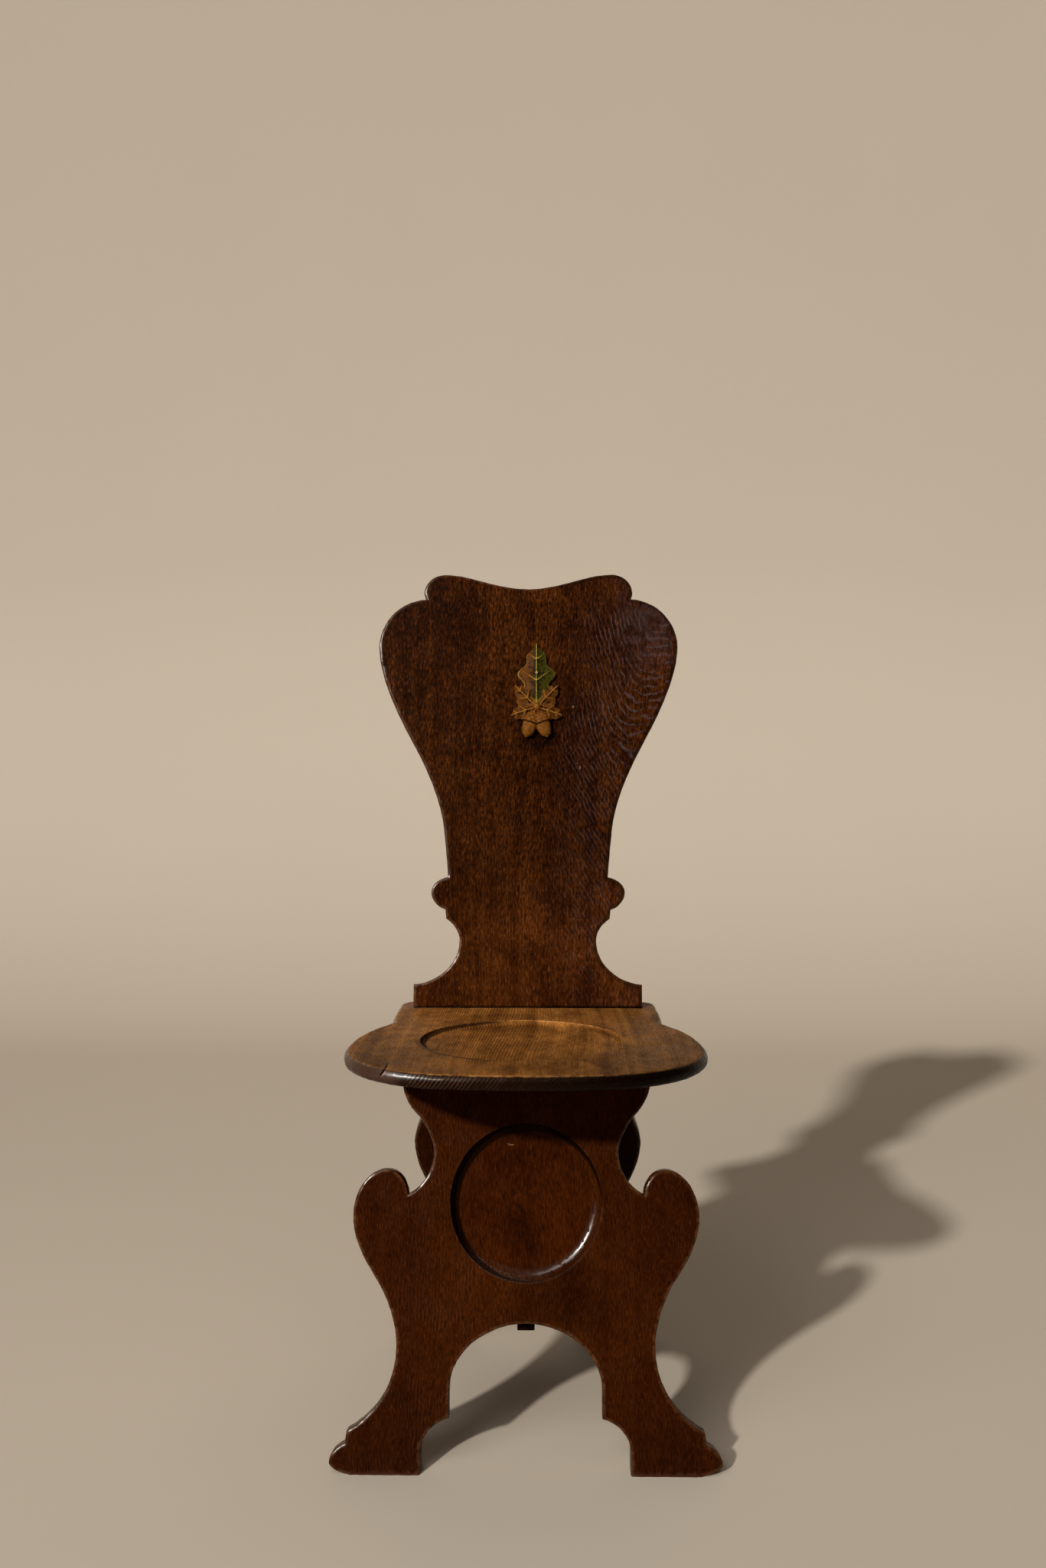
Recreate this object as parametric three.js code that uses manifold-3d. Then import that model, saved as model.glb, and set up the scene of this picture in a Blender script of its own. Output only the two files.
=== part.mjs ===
// Oak hall chair: a shaped back board and a dished seat on two raked leg boards and a stretcher.
// Lengths are in millimetres and angles in degrees. +Z is up, the front faces -Y and +X is to the
// right of someone who looks at the front. The origin is on the floor, under the middle of the chair.
import * as THREE from "three";
import { mergeVertices } from "three/addons/utils/BufferGeometryUtils.js";
import Module from "manifold-3d";

const wasm = await Module();
wasm.setup();

// Seat board, measured on its flat top, inside the rounded edge.
const SEAT_HEIGHT = 440;
const SEAT_THICKNESS = 16;
const SEAT_WIDTH = 375;
const SEAT_DEPTH = 418;
const SEAT_NECK_WIDTH = 306;
const SEAT_REAR_WIDTH = 315;
const SEAT_REAR_CORNER = 20;
const SEAT_EDGE_OVERHANG = 6;
const SEAT_EDGE_FLAT = 1;

// Round dish in the seat.
const DISH_RADIUS = 112;
const DISH_DEPTH = 5;
const DISH_WALL = 7;
const DISH_SETBACK = 175;
const DISH_OFFSET = -5;

// Back board, its lengths measured up its sloping face.
const BACK_LENGTH = 571;
const BACK_THICKNESS = 20;
const BACK_LEAN = 10;
const BACK_BASE_WIDTH = 289;
const BACK_WAIST_WIDTH = 174;
const BACK_STEP_WIDTH = 209;
const BACK_KNOB_WIDTH = 248;
const BACK_NECK_WIDTH = 205;
const BACK_SHOULDER_WIDTH = 395;
const BACK_EAR_WIDTH = 278;

// Through tenons of the back board and the wedges that spread them.
const BACK_TENON_WIDTH = 58;
const BACK_TENON_THICKNESS = 14;
const BACK_TENON_SPACING = 150;
const WEDGE_LENGTH = 13;
const WEDGE_BUTT = 4;
const WEDGE_TIP = 1;

// Both leg boards.
const LEG_THICKNESS = 22;
const LEG_RAKE = 13;
const LEG_HOUSING_DEPTH = 4;

// Front leg board.
const FRONT_TOE_WIDTH = 413;
const FRONT_ANKLE_WIDTH = 277;
const FRONT_KNEE_WIDTH = 378;
const FRONT_WAIST_WIDTH = 203;
const FRONT_TOP_WIDTH = 276;
const FRONT_FOOT_GAP = 220;
const FRONT_ARCH_WIDTH = 162;

// Sunk round panel in the front leg board.
const PANEL_RADIUS = 82.5;
const PANEL_DEPTH = 10;
const PANEL_WALL = 10;

// Rear leg board.
const REAR_TOE_WIDTH = 306;
const REAR_ANKLE_WIDTH = 196;
const REAR_KNEE_WIDTH = 282;
const REAR_WAIST_WIDTH = 214;
const REAR_TOP_WIDTH = 222;
const REAR_ARCH_WIDTH = 140;

// Stretcher between the leg boards.
const STRETCHER_THICKNESS = 19;
const STRETCHER_DEPTH = 86;
const STRETCHER_BOTTOM = 129.5;
const STRETCHER_TENON_THICKNESS = 10;
const STRETCHER_TENON_DEPTH = 40;
const STRETCHER_TENON_LENGTH = 9;

// Glue blocks in the angle between the seat and each leg board.
const BLOCK_SIZE = 26;
const BLOCK_LENGTH = 52;
const BLOCK_SPACING = 150;

// Countersunk wood screws through the glue blocks.
const SCREW_LENGTH = 34;
const SCREW_RADIUS = 2.2;
const SCREW_HEAD_RADIUS = 4.5;
const SCREW_HEAD_DEPTH = 3;
const SCREW_POINT = 7;
const SCREW_SLOT_WIDTH = 1.2;
const SCREW_SLOT_DEPTH = 1;
const SCREW_SPACING = 24;

// Carved oak spray on the back board, and the pins that hold it.
const CREST_HEIGHT = 387;
const CREST_OFFSET = 11;
const CREST_THICKNESS = 10;
const LEAF_LENGTH = 87;
const LEAF_WIDTH = 48;
const SIDE_LEAF_LENGTH = 35.5;
const SIDE_LEAF_WIDTH = 27;
const SIDE_LEAF_TURN = 108;
const ACORN_LENGTH = 36;
const ACORN_WIDTH = 19;
const ACORN_TURN = 157;
const CREST_BOSS_RADIUS = 11;
const PIN_RADIUS = 0.8;
const PIN_LENGTH = 20;
const PIN_HEAD_RADIUS = 1.6;
const PIN_HEAD_HEIGHT = 0.8;
const PIN_SEAT_DEPTH = 9;
const PIN_UPPER_HEIGHT = 46;
const PIN_LOWER_DROP = 3;

// Finish of the edges, clearance between pieces, overrun of the cuts and fineness of the curves.
const ARRIS_RADIUS = 2.5;
const SMALL_ARRIS = 1.2;
const JOINT_GAP = 0.3;
const OVERRUN = 12;
const CURVE_ERROR = 0.12;
const ARRIS_FACETS = 2;
const SEAT_EDGE_FACETS = 4;
const SINKING_FACETS = 72;
const COVE_FACETS = 4;
const SCREW_FACETS = 12;
const LEAF_FACETS = 44;
const BALL_FACETS = 14;

const radians = THREE.MathUtils.degToRad;
const seatUnderside = SEAT_HEIGHT - SEAT_THICKNESS;

// Far enough to run past the whole chair on every side.
const reach = SEAT_HEIGHT + BACK_LENGTH;

// Outlines. An edge is a chain of stations that runs anticlockwise round the right half of a board.
// A heading is the edge's direction in degrees, with 0 to the right and 90 up. A corner has one
// heading for its arrival and one for its departure, and an edge without one is straight.
function smooth(x, y, heading) {
  return { point: new THREE.Vector2(x, y), arrive: heading, leave: heading };
}

function corner(x, y, arrive, leave) {
  return { point: new THREE.Vector2(x, y), arrive, leave };
}

function headingVector(heading) {
  return new THREE.Vector2(Math.cos(radians(heading)), Math.sin(radians(heading)));
}

// A cubic curve close to the elliptical arc that touches both headings.
function arcBetween(from, to) {
  const start = headingVector(from.leave);
  const end = headingVector(to.arrive);
  const chord = to.point.clone().sub(from.point);
  const turn = Math.abs(Math.atan2(start.cross(end), start.dot(end)));
  const cross = start.cross(end);
  const startReach = chord.cross(end) / cross;
  const endReach = start.cross(chord) / cross;
  const bows = startReach > 0 && endReach > 0;
  const share = (4 * Math.tan(turn / 4)) / (3 * Math.tan(turn / 2));
  const startHandle = bows ? startReach * share : chord.length() / 3;
  const endHandle = bows ? endReach * share : chord.length() / 3;
  return new THREE.CubicBezierCurve(
    from.point,
    from.point.clone().addScaledVector(start, startHandle),
    to.point.clone().addScaledVector(end, -endHandle),
    to.point,
  );
}

function facetCount(curve) {
  const first = curve.getTangent(0);
  const middle = curve.getTangent(0.5);
  const last = curve.getTangent(1);
  const turn = first.angleTo(middle) + middle.angleTo(last);
  return Math.max(2, Math.ceil(Math.sqrt((curve.getLength() * turn) / (8 * CURVE_ERROR))));
}

function edgePoints(stations) {
  const points = [stations[0].point];
  for (let i = 1; i < stations.length; i += 1) {
    const from = stations[i - 1];
    const to = stations[i];
    if (from.leave === undefined || to.arrive === undefined) {
      points.push(to.point);
    } else {
      const curve = arcBetween(from, to);
      points.push(...curve.getPoints(facetCount(curve)).slice(1));
    }
  }
  return points;
}

// The right half's stations start and end on the centre line, so the left half mirrors them.
function mirroredShape(stations) {
  const right = edgePoints(stations);
  const left = right.slice(1, -1).reverse();
  return new THREE.Shape([...right, ...left.map((point) => new THREE.Vector2(-point.x, point.y))]);
}

// Solids. A closed geometry becomes a solid for the cuts, and the result becomes a geometry again.
function toSolid(geometry) {
  const bare = new THREE.BufferGeometry();
  bare.setAttribute("position", geometry.getAttribute("position").clone());
  bare.setIndex(geometry.getIndex());
  const merged = mergeVertices(bare);
  const mesh = new wasm.Mesh({
    numProp: 3,
    vertProperties: new Float32Array(merged.getAttribute("position").array),
    triVerts: new Uint32Array(merged.getIndex().array),
  });
  mesh.merge();
  return new wasm.Manifold(mesh);
}

function toGeometry(solid) {
  const mesh = solid.getMesh();
  const geometry = new THREE.BufferGeometry();
  const positions = new Float32Array(mesh.vertProperties);
  geometry.setAttribute("position", new THREE.BufferAttribute(positions, mesh.numProp));
  geometry.setIndex(new THREE.BufferAttribute(new Uint32Array(mesh.triVerts), 1));
  geometry.computeVertexNormals();
  return geometry;
}

function join(...geometries) {
  const solids = geometries.map(toSolid);
  return toGeometry(solids.reduce((whole, solid) => whole.add(solid)));
}

function overlap(first, second) {
  return toGeometry(toSolid(first).intersect(toSolid(second)));
}

// The tools are placed in the chair's frame, and the geometry is in the frame of its own piece.
function cut(geometry, frame, tools) {
  const toPiece = frame.clone().invert();
  let solid = toSolid(geometry);
  for (const tool of tools) {
    solid = solid.subtract(toSolid(tool.clone().applyMatrix4(toPiece)));
  }
  return toGeometry(solid);
}

// Frames. A board lies in the X and Y of its frame: X across it, Y up it and Z out of its front face.
function boardFrame(setback, height, lean) {
  const frame = new THREE.Matrix4().makeRotationX(radians(90 - lean));
  return frame.setPosition(0, setback, height);
}

// What the seat carries stands at these shares of its depth, each measured to a front face.
const setbackShares = { frontLeg: 0.459, rearLeg: 0.757, back: 0.88 };
const frontLegTopFront = SEAT_DEPTH * setbackShares.frontLeg;
const rearLegTopFront = SEAT_DEPTH * setbackShares.rearLeg;
const backSetback = SEAT_DEPTH * setbackShares.back;
const rakeDrift = seatUnderside * Math.tan(radians(LEG_RAKE));
const legAcross = LEG_THICKNESS / Math.cos(radians(LEG_RAKE));
const chairFrame = new THREE.Matrix4();

// Turns an outline drawn in the side view, with depth as X and height as Y, into the chair's frame.
const sideways = new THREE.Matrix4().makeBasis(
  new THREE.Vector3(0, 1, 0),
  new THREE.Vector3(0, 0, 1),
  new THREE.Vector3(1, 0, 0),
);
const backFrame = boardFrame(backSetback, SEAT_HEIGHT, BACK_LEAN);
const frontLegFrame = boardFrame(frontLegTopFront - rakeDrift, 0, LEG_RAKE);
const rearLegFrame = boardFrame(rearLegTopFront + rakeDrift, 0, -LEG_RAKE);

// A box between two corners, given in a frame and returned in the chair's frame.
function boxTool(low, high, frame = chairFrame) {
  const size = high.clone().sub(low);
  const centre = low.clone().add(high).multiplyScalar(0.5);
  const box = new THREE.BoxGeometry(size.x, size.y, size.z);
  return box.translate(centre.x, centre.y, centre.z).applyMatrix4(frame);
}

// A level slab that covers the whole chair between two heights.
function slab(bottom, top) {
  const low = new THREE.Vector3(-reach, -reach, bottom);
  const high = new THREE.Vector3(reach, reach, top);
  return boxTool(low, high);
}

// A board with its outline in the frame's X and Y, its front face at Z = 0 and its edges rounded over.
function board(shape, thickness, arris) {
  const geometry = new THREE.ExtrudeGeometry(shape, {
    depth: thickness - arris * 2,
    steps: 1,
    bevelEnabled: true,
    bevelThickness: arris,
    bevelSize: arris,
    bevelOffset: -arris,
    bevelSegments: ARRIS_FACETS,
  });
  return geometry.translate(0, 0, arris - thickness);
}

// A round sinking with a hollow wall, below Z = 0 of its frame, returned in the chair's frame.
function roundSinking(radius, depth, wall, frame) {
  const profile = [new THREE.Vector2(0, -depth)];
  for (let i = 0; i <= COVE_FACETS; i += 1) {
    const angle = (Math.PI / 2) * (i / COVE_FACETS);
    const x = radius - wall + wall * Math.sin(angle);
    const y = -depth * Math.cos(angle);
    profile.push(new THREE.Vector2(x, y));
  }
  profile.push(new THREE.Vector2(radius, OVERRUN), new THREE.Vector2(0, OVERRUN));
  const geometry = new THREE.LatheGeometry(profile, SINKING_FACETS);
  return geometry.rotateX(Math.PI / 2).applyMatrix4(frame);
}

// Seat board: its plan, its rounded edge, the dish, and the housings and mortises for what it joins.
const seatDepthShares = { widest: 0.31, flare: 0.56, neck: 0.66, lobe: 0.84 };
const seatFrontShares = { across: 0.5, back: 0.021 };
const seatFlareShare = 0.91;

function seatPlan() {
  const half = SEAT_WIDTH / 2;
  const rear = SEAT_REAR_WIDTH / 2;
  return mirroredShape([
    smooth(0, 0, 0),
    smooth(half * seatFrontShares.across, SEAT_DEPTH * seatFrontShares.back, 14),
    smooth(half, SEAT_DEPTH * seatDepthShares.widest, 90),
    smooth(half * seatFlareShare, SEAT_DEPTH * seatDepthShares.flare, 110),
    corner(SEAT_NECK_WIDTH / 2, SEAT_DEPTH * seatDepthShares.neck, 109, 80),
    smooth(rear, SEAT_DEPTH * seatDepthShares.lobe, 90),
    corner(rear, SEAT_DEPTH - SEAT_REAR_CORNER, undefined, 90),
    corner(rear - SEAT_REAR_CORNER, SEAT_DEPTH, 180),
    corner(0, SEAT_DEPTH),
  ]);
}

function legHousing(frame, width) {
  const half = width / 2 + JOINT_GAP;
  const legTop = SEAT_HEIGHT / Math.cos(radians(LEG_RAKE)) + OVERRUN;
  const low = new THREE.Vector3(-half, 0, -LEG_THICKNESS - JOINT_GAP);
  const high = new THREE.Vector3(half, legTop, JOINT_GAP);
  const depth = slab(seatUnderside - OVERRUN, seatUnderside + LEG_HOUSING_DEPTH);
  return overlap(boxTool(low, high, frame), depth);
}

// A tenon of the back board, grown by a clearance, from below the seat to inside the board.
function backTenon(side, grow) {
  const middle = (side * BACK_TENON_SPACING) / 2;
  const half = BACK_TENON_WIDTH / 2 + grow;
  const shoulder = (BACK_THICKNESS - BACK_TENON_THICKNESS) / 2;
  const low = new THREE.Vector3(middle - half, -SEAT_THICKNESS - OVERRUN, shoulder - BACK_THICKNESS - grow);
  const high = new THREE.Vector3(middle + half, OVERRUN, grow - shoulder);
  return boxTool(low, high, backFrame);
}

function seatBoard(screwHoles) {
  const middleHeight = SEAT_THICKNESS - SEAT_EDGE_FLAT;
  const geometry = new THREE.ExtrudeGeometry(seatPlan(), {
    depth: SEAT_EDGE_FLAT,
    steps: 1,
    bevelEnabled: true,
    bevelThickness: middleHeight / 2,
    bevelSize: SEAT_EDGE_OVERHANG,
    bevelSegments: SEAT_EDGE_FACETS,
  });
  geometry.translate(0, 0, seatUnderside + middleHeight / 2);
  const dishFrame = new THREE.Matrix4().makeTranslation(DISH_OFFSET, DISH_SETBACK, SEAT_HEIGHT);
  return cut(geometry, chairFrame, [
    roundSinking(DISH_RADIUS, DISH_DEPTH, DISH_WALL, dishFrame),
    legHousing(frontLegFrame, FRONT_TOP_WIDTH),
    legHousing(rearLegFrame, REAR_TOP_WIDTH),
    backTenon(-1, JOINT_GAP),
    backTenon(1, JOINT_GAP),
    ...screwHoles,
  ]);
}

// Back board: its outline with base, waist, knob, neck, shoulder and ear, and two through tenons.
const backHeightShares = {
  base: 0.052,
  waist: 0.147,
  step: 0.197,
  knobFoot: 0.218,
  knob: 0.255,
  knobTop: 0.29,
  neck: 0.4,
  flare: 0.605,
  shoulder: 0.825,
  notch: 0.94,
  ear: 0.953,
  crown: 0.988,
  dip: 0.965,
};
const backFlareShare = 0.774;
const backNeckSpreadShare = 1.06;
const backNotchShare = 0.975;
const backEarTopShare = 0.8;
const backCrownShare = 0.5;

function backOutline() {
  const up = (name) => BACK_LENGTH * backHeightShares[name];
  const base = BACK_BASE_WIDTH / 2;
  const knobFoot = BACK_STEP_WIDTH / 2 + SMALL_ARRIS;
  const neck = BACK_NECK_WIDTH / 2;
  const shoulder = BACK_SHOULDER_WIDTH / 2;
  const ear = BACK_EAR_WIDTH / 2;
  return mirroredShape([
    corner(0, -OVERRUN),
    corner(base, -OVERRUN),
    corner(base, up("base"), undefined, 176),
    smooth(BACK_WAIST_WIDTH / 2, up("waist"), 90),
    corner(BACK_STEP_WIDTH / 2, up("step"), 32),
    corner(knobFoot, up("knobFoot"), undefined, 15),
    smooth(BACK_KNOB_WIDTH / 2, up("knob"), 90),
    corner(neck, up("knobTop"), 172, 85),
    smooth(neck * backNeckSpreadShare, up("neck"), 83),
    smooth(shoulder * backFlareShare, up("flare"), 61),
    smooth(shoulder, up("shoulder"), 90),
    corner(ear * backNotchShare, up("notch"), 178, 55),
    smooth(ear, up("ear"), 90),
    smooth(ear * backEarTopShare, BACK_LENGTH, 180),
    smooth(ear * backCrownShare, up("crown"), 197),
    smooth(0, up("dip"), 180),
  ]);
}

// A wedge that tapers upward inside a tenon, grown by a clearance.
function wedge(side, grow) {
  const middle = (side * BACK_TENON_SPACING) / 2;
  const shoulder = (BACK_THICKNESS - BACK_TENON_THICKNESS) / 2;
  const foot = -SEAT_THICKNESS / Math.cos(radians(BACK_LEAN)) - OVERRUN;
  const tip = foot + OVERRUN + WEDGE_LENGTH;
  const spread = (WEDGE_BUTT - WEDGE_TIP) / WEDGE_LENGTH;
  const tipHalf = WEDGE_TIP / 2 + grow;
  const footHalf = WEDGE_TIP / 2 + (spread * (tip - foot)) / 2 + grow;
  const shape = new THREE.Shape([
    new THREE.Vector2(middle - footHalf, foot),
    new THREE.Vector2(middle + footHalf, foot),
    new THREE.Vector2(middle + tipHalf, tip + grow),
    new THREE.Vector2(middle - tipHalf, tip + grow),
  ]);
  const width = BACK_TENON_THICKNESS + grow * 2;
  const geometry = new THREE.ExtrudeGeometry(shape, { depth: width, bevelEnabled: false });
  geometry.translate(0, 0, shoulder - BACK_THICKNESS - grow);
  return geometry;
}

function inChair(geometry, frame) {
  return geometry.clone().applyMatrix4(frame);
}

function inFrame(geometry, frame) {
  return geometry.clone().applyMatrix4(frame.clone().invert());
}

function backBoard(pinHoles) {
  const blank = board(backOutline(), BACK_THICKNESS, ARRIS_RADIUS);
  const shouldered = cut(blank, backFrame, [slab(-OVERRUN, SEAT_HEIGHT + JOINT_GAP)]);
  const tenonRange = slab(seatUnderside, SEAT_HEIGHT + OVERRUN);
  const tenons = [-1, 1].map((side) => inFrame(overlap(backTenon(side, 0), tenonRange), backFrame));
  const wedgeSlots = [-1, 1].map((side) => inChair(wedge(side, JOINT_GAP), backFrame));
  return cut(join(shouldered, ...tenons), backFrame, [...wedgeSlots, ...pinHoles]);
}

function wedgePiece(side) {
  return cut(wedge(side, 0), backFrame, [slab(-OVERRUN, seatUnderside)]);
}

// Front leg board: its outline with toe, ankle, knee scroll, waist and arch, and the sunk panel.
const legLength = seatUnderside / Math.cos(radians(LEG_RAKE));
const frontHeightShares = {
  toe: 0.027,
  toeTop: 0.07,
  step: 0.097,
  ankle: 0.2815,
  calf: 0.4565,
  knee: 0.593,
  scroll: 0.7065,
  notch: 0.645,
  waist: 0.748,
  cusp: 0.831,
  swell: 0.919,
  footSide: 0.055,
  footTop: 0.1255,
  spring: 0.188,
  crown: 0.34,
  panel: 0.6275,
};
const soleShare = 0.9;
const toeTopShare = 0.922;
const stepShare = 0.915;
const calfShare = 0.876;
const scrollShare = 0.808;
const notchShare = 0.682;
const cuspShare = 0.851;

function frontLegOutline() {
  const up = (name) => legLength * frontHeightShares[name];
  const toe = FRONT_TOE_WIDTH / 2;
  const knee = FRONT_KNEE_WIDTH / 2;
  const top = FRONT_TOP_WIDTH / 2;
  const gap = FRONT_FOOT_GAP / 2;
  const arch = FRONT_ARCH_WIDTH / 2;
  return mirroredShape([
    smooth(0, up("crown"), 0),
    smooth(arch, up("spring"), -90),
    corner(arch, up("footTop"), undefined, -15),
    corner(gap, up("footSide"), -90),
    corner(gap, -OVERRUN),
    corner(toe * soleShare, -OVERRUN),
    corner(toe * soleShare, 0, undefined, 10),
    smooth(toe, up("toe"), 90),
    corner(toe * toeTopShare, up("toeTop"), 160),
    corner(toe * stepShare, up("step"), undefined, 153),
    smooth(FRONT_ANKLE_WIDTH / 2, up("ankle"), 90),
    smooth(knee * calfShare, up("calf"), 54),
    smooth(knee, up("knee"), 90),
    smooth(knee * scrollShare, up("scroll"), 180),
    corner(knee * notchShare, up("notch"), -95, 152),
    smooth(FRONT_WAIST_WIDTH / 2, up("waist"), 90),
    corner(top * cuspShare, up("cusp"), 55, 42),
    smooth(top, up("swell"), 90),
    corner(top, legLength + OVERRUN),
    corner(0, legLength + OVERRUN),
  ]);
}

function legBoard(outline, frame, cuts) {
  const blank = board(outline, LEG_THICKNESS, ARRIS_RADIUS);
  const legTop = seatUnderside + LEG_HOUSING_DEPTH - JOINT_GAP;
  const ends = [slab(-OVERRUN * 2, 0), slab(legTop, reach)];
  return cut(blank, frame, [...ends, ...cuts]);
}

// Rear leg board: a plainer outline that the front leg board mostly hides.
const rearHeightShares = {
  toe: 0.0395,
  toeTop: 0.084,
  ankle: 0.326,
  calf: 0.504,
  knee: 0.652,
  shin: 0.761,
  waist: 0.87,
  shoulder: 0.97,
  spring: 0.148,
  crown: 0.2815,
};
const rearSoleShare = 0.9;
const rearToeTopShare = 0.93;
const rearCalfShare = 0.86;
const rearShinShare = 0.88;

function rearLegOutline() {
  const up = (name) => legLength * rearHeightShares[name];
  const toe = REAR_TOE_WIDTH / 2;
  const knee = REAR_KNEE_WIDTH / 2;
  const top = REAR_TOP_WIDTH / 2;
  const arch = REAR_ARCH_WIDTH / 2;
  return mirroredShape([
    smooth(0, up("crown"), 0),
    smooth(arch, up("spring"), -90),
    corner(arch, -OVERRUN),
    corner(toe * rearSoleShare, -OVERRUN),
    corner(toe * rearSoleShare, 0, undefined, 20),
    smooth(toe, up("toe"), 90),
    corner(toe * rearToeTopShare, up("toeTop"), 150, 140),
    smooth(REAR_ANKLE_WIDTH / 2, up("ankle"), 90),
    smooth(knee * rearCalfShare, up("calf"), 58),
    smooth(knee, up("knee"), 90),
    smooth(knee * rearShinShare, up("shin"), 116),
    smooth(REAR_WAIST_WIDTH / 2, up("waist"), 90),
    corner(top, up("shoulder")),
    corner(top, legLength + OVERRUN),
    corner(0, legLength + OVERRUN),
  ]);
}

const panelPlace = new THREE.Matrix4().makeTranslation(0, legLength * frontHeightShares.panel, 0);
const panelFrame = frontLegFrame.clone().multiply(panelPlace);

// Stretcher: a board on edge, its ends trimmed to the raked faces, with a stub tenon in each leg.
const stretcherMiddle = STRETCHER_BOTTOM + STRETCHER_DEPTH / 2;
const stretcherRise = stretcherMiddle / Math.cos(radians(LEG_RAKE));

// The stub tenon reaches into the inner face of a leg board, on the frame's side given by inward.
function stretcherTenon(frame, face, inward, grow) {
  const half = STRETCHER_TENON_THICKNESS / 2 + grow;
  const depth = STRETCHER_TENON_DEPTH / 2 + grow;
  const tip = face + inward * (STRETCHER_TENON_LENGTH + grow);
  const root = face - inward * OVERRUN;
  const low = new THREE.Vector3(-half, stretcherRise - depth, Math.min(tip, root));
  const high = new THREE.Vector3(half, stretcherRise + depth, Math.max(tip, root));
  return boxTool(low, high, frame);
}

const frontInnerFace = -LEG_THICKNESS;

const legBoards = [
  {
    row: "front",
    frame: frontLegFrame,
    outline: frontLegOutline,
    tenon: [frontLegFrame, frontInnerFace, 1],
  },
  { row: "rear", frame: rearLegFrame, outline: rearLegOutline, tenon: [rearLegFrame, 0, -1] },
];

function stretcher() {
  const depth = STRETCHER_DEPTH;
  const frontEnd = frontLegTopFront - rakeDrift;
  const rearEnd = rearLegTopFront + rakeDrift;
  const side = new THREE.Shape([
    new THREE.Vector2(frontEnd, STRETCHER_BOTTOM),
    new THREE.Vector2(rearEnd, STRETCHER_BOTTOM),
    new THREE.Vector2(rearEnd, STRETCHER_BOTTOM + depth),
    new THREE.Vector2(frontEnd, STRETCHER_BOTTOM + depth),
  ]);
  const blank = board(side, STRETCHER_THICKNESS, SMALL_ARRIS);
  blank.translate(0, 0, STRETCHER_THICKNESS / 2);
  blank.applyMatrix4(sideways);
  const frontLow = new THREE.Vector3(-reach, -reach, frontInnerFace - JOINT_GAP);
  const frontTrim = boxTool(frontLow, new THREE.Vector3(reach, reach, reach), frontLegFrame);
  const rearHigh = new THREE.Vector3(reach, reach, JOINT_GAP);
  const rearTrim = boxTool(new THREE.Vector3(-reach, -reach, -reach), rearHigh, rearLegFrame);
  const trimmed = cut(blank, chairFrame, [frontTrim, rearTrim]);
  const frontTenon = stretcherTenon(frontLegFrame, frontInnerFace, 1, 0);
  const rearTenon = stretcherTenon(rearLegFrame, 0, -1, 0);
  return join(trimmed, frontTenon, rearTenon);
}

// Glue blocks: the front pair stands behind the front leg, and the rear pair in front of the rear leg.
// The facing is 1 where the block runs back from its leg board, and -1 where it runs forward.
const blockRows = [
  { row: "front", facing: 1, legFace: frontLegTopFront + legAcross },
  { row: "rear", facing: -1, legFace: rearLegTopFront },
];
const blockSides = [
  { hand: "left", side: -1 },
  { hand: "right", side: 1 },
];

// A block's own frame has X along the chair's X, Y away from the leg board and Z up.
function blockFrame(row, side) {
  const frame = new THREE.Matrix4().makeRotationZ(row.facing > 0 ? 0 : Math.PI);
  return frame.setPosition((side * BLOCK_SPACING) / 2, row.legFace, seatUnderside);
}

function glueBlock(frame, screwHoles) {
  const gapAcross = JOINT_GAP / Math.cos(radians(LEG_RAKE));
  const drift = (drop) => gapAcross - drop * Math.tan(radians(LEG_RAKE));
  const top = JOINT_GAP;
  const bottom = BLOCK_SIZE;
  const side = new THREE.Shape([
    new THREE.Vector2(drift(top), -top),
    new THREE.Vector2(drift(bottom), -bottom),
    new THREE.Vector2(BLOCK_SIZE, -bottom),
    new THREE.Vector2(BLOCK_SIZE, -top),
  ]);
  const geometry = new THREE.ExtrudeGeometry(side, { depth: BLOCK_LENGTH, bevelEnabled: false });
  geometry.translate(0, 0, -BLOCK_LENGTH / 2).applyMatrix4(sideways);
  return cut(geometry, frame, screwHoles);
}

// A screw points along +Z of its frame, with its head at Z = 0. The hole is a little wider.
function screwProfile(grow) {
  const body = SCREW_RADIUS + grow;
  const head = SCREW_HEAD_RADIUS + grow;
  const outside = grow > 0 ? -OVERRUN : 0;
  return [
    new THREE.Vector2(0, outside),
    new THREE.Vector2(head, outside),
    new THREE.Vector2(head, 0),
    new THREE.Vector2(body, SCREW_HEAD_DEPTH + grow),
    new THREE.Vector2(body, SCREW_LENGTH - SCREW_POINT + grow),
    new THREE.Vector2(0, SCREW_LENGTH + grow * SCREW_POINT),
  ].filter((point, index, all) => index === 0 || !point.equals(all[index - 1]));
}

function screwBody(grow) {
  const geometry = new THREE.LatheGeometry(screwProfile(grow), SCREW_FACETS);
  return geometry.rotateX(Math.PI / 2);
}

function screw() {
  const half = SCREW_SLOT_WIDTH / 2;
  const low = new THREE.Vector3(-SCREW_HEAD_RADIUS * 2, -half, -OVERRUN);
  const high = new THREE.Vector3(SCREW_HEAD_RADIUS * 2, half, SCREW_SLOT_DEPTH);
  return cut(screwBody(0), chairFrame, [boxTool(low, high)]);
}

// One screw of a block goes up into the seat, and the other goes level into the leg board.
function screwFrame(row, side, into) {
  const goesUp = into === "seat";
  const middle = (side * BLOCK_SPACING) / 2;
  const x = middle + ((goesUp ? -1 : 1) * side * SCREW_SPACING) / 2;
  const y = row.legFace + row.facing * (goesUp ? BLOCK_SIZE / 2 : BLOCK_SIZE);
  const z = seatUnderside - (goesUp ? BLOCK_SIZE : BLOCK_SIZE / 2);
  const turn = goesUp ? 0 : row.facing * 90;
  return new THREE.Matrix4().makeRotationX(radians(turn)).setPosition(x, y, z);
}

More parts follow.
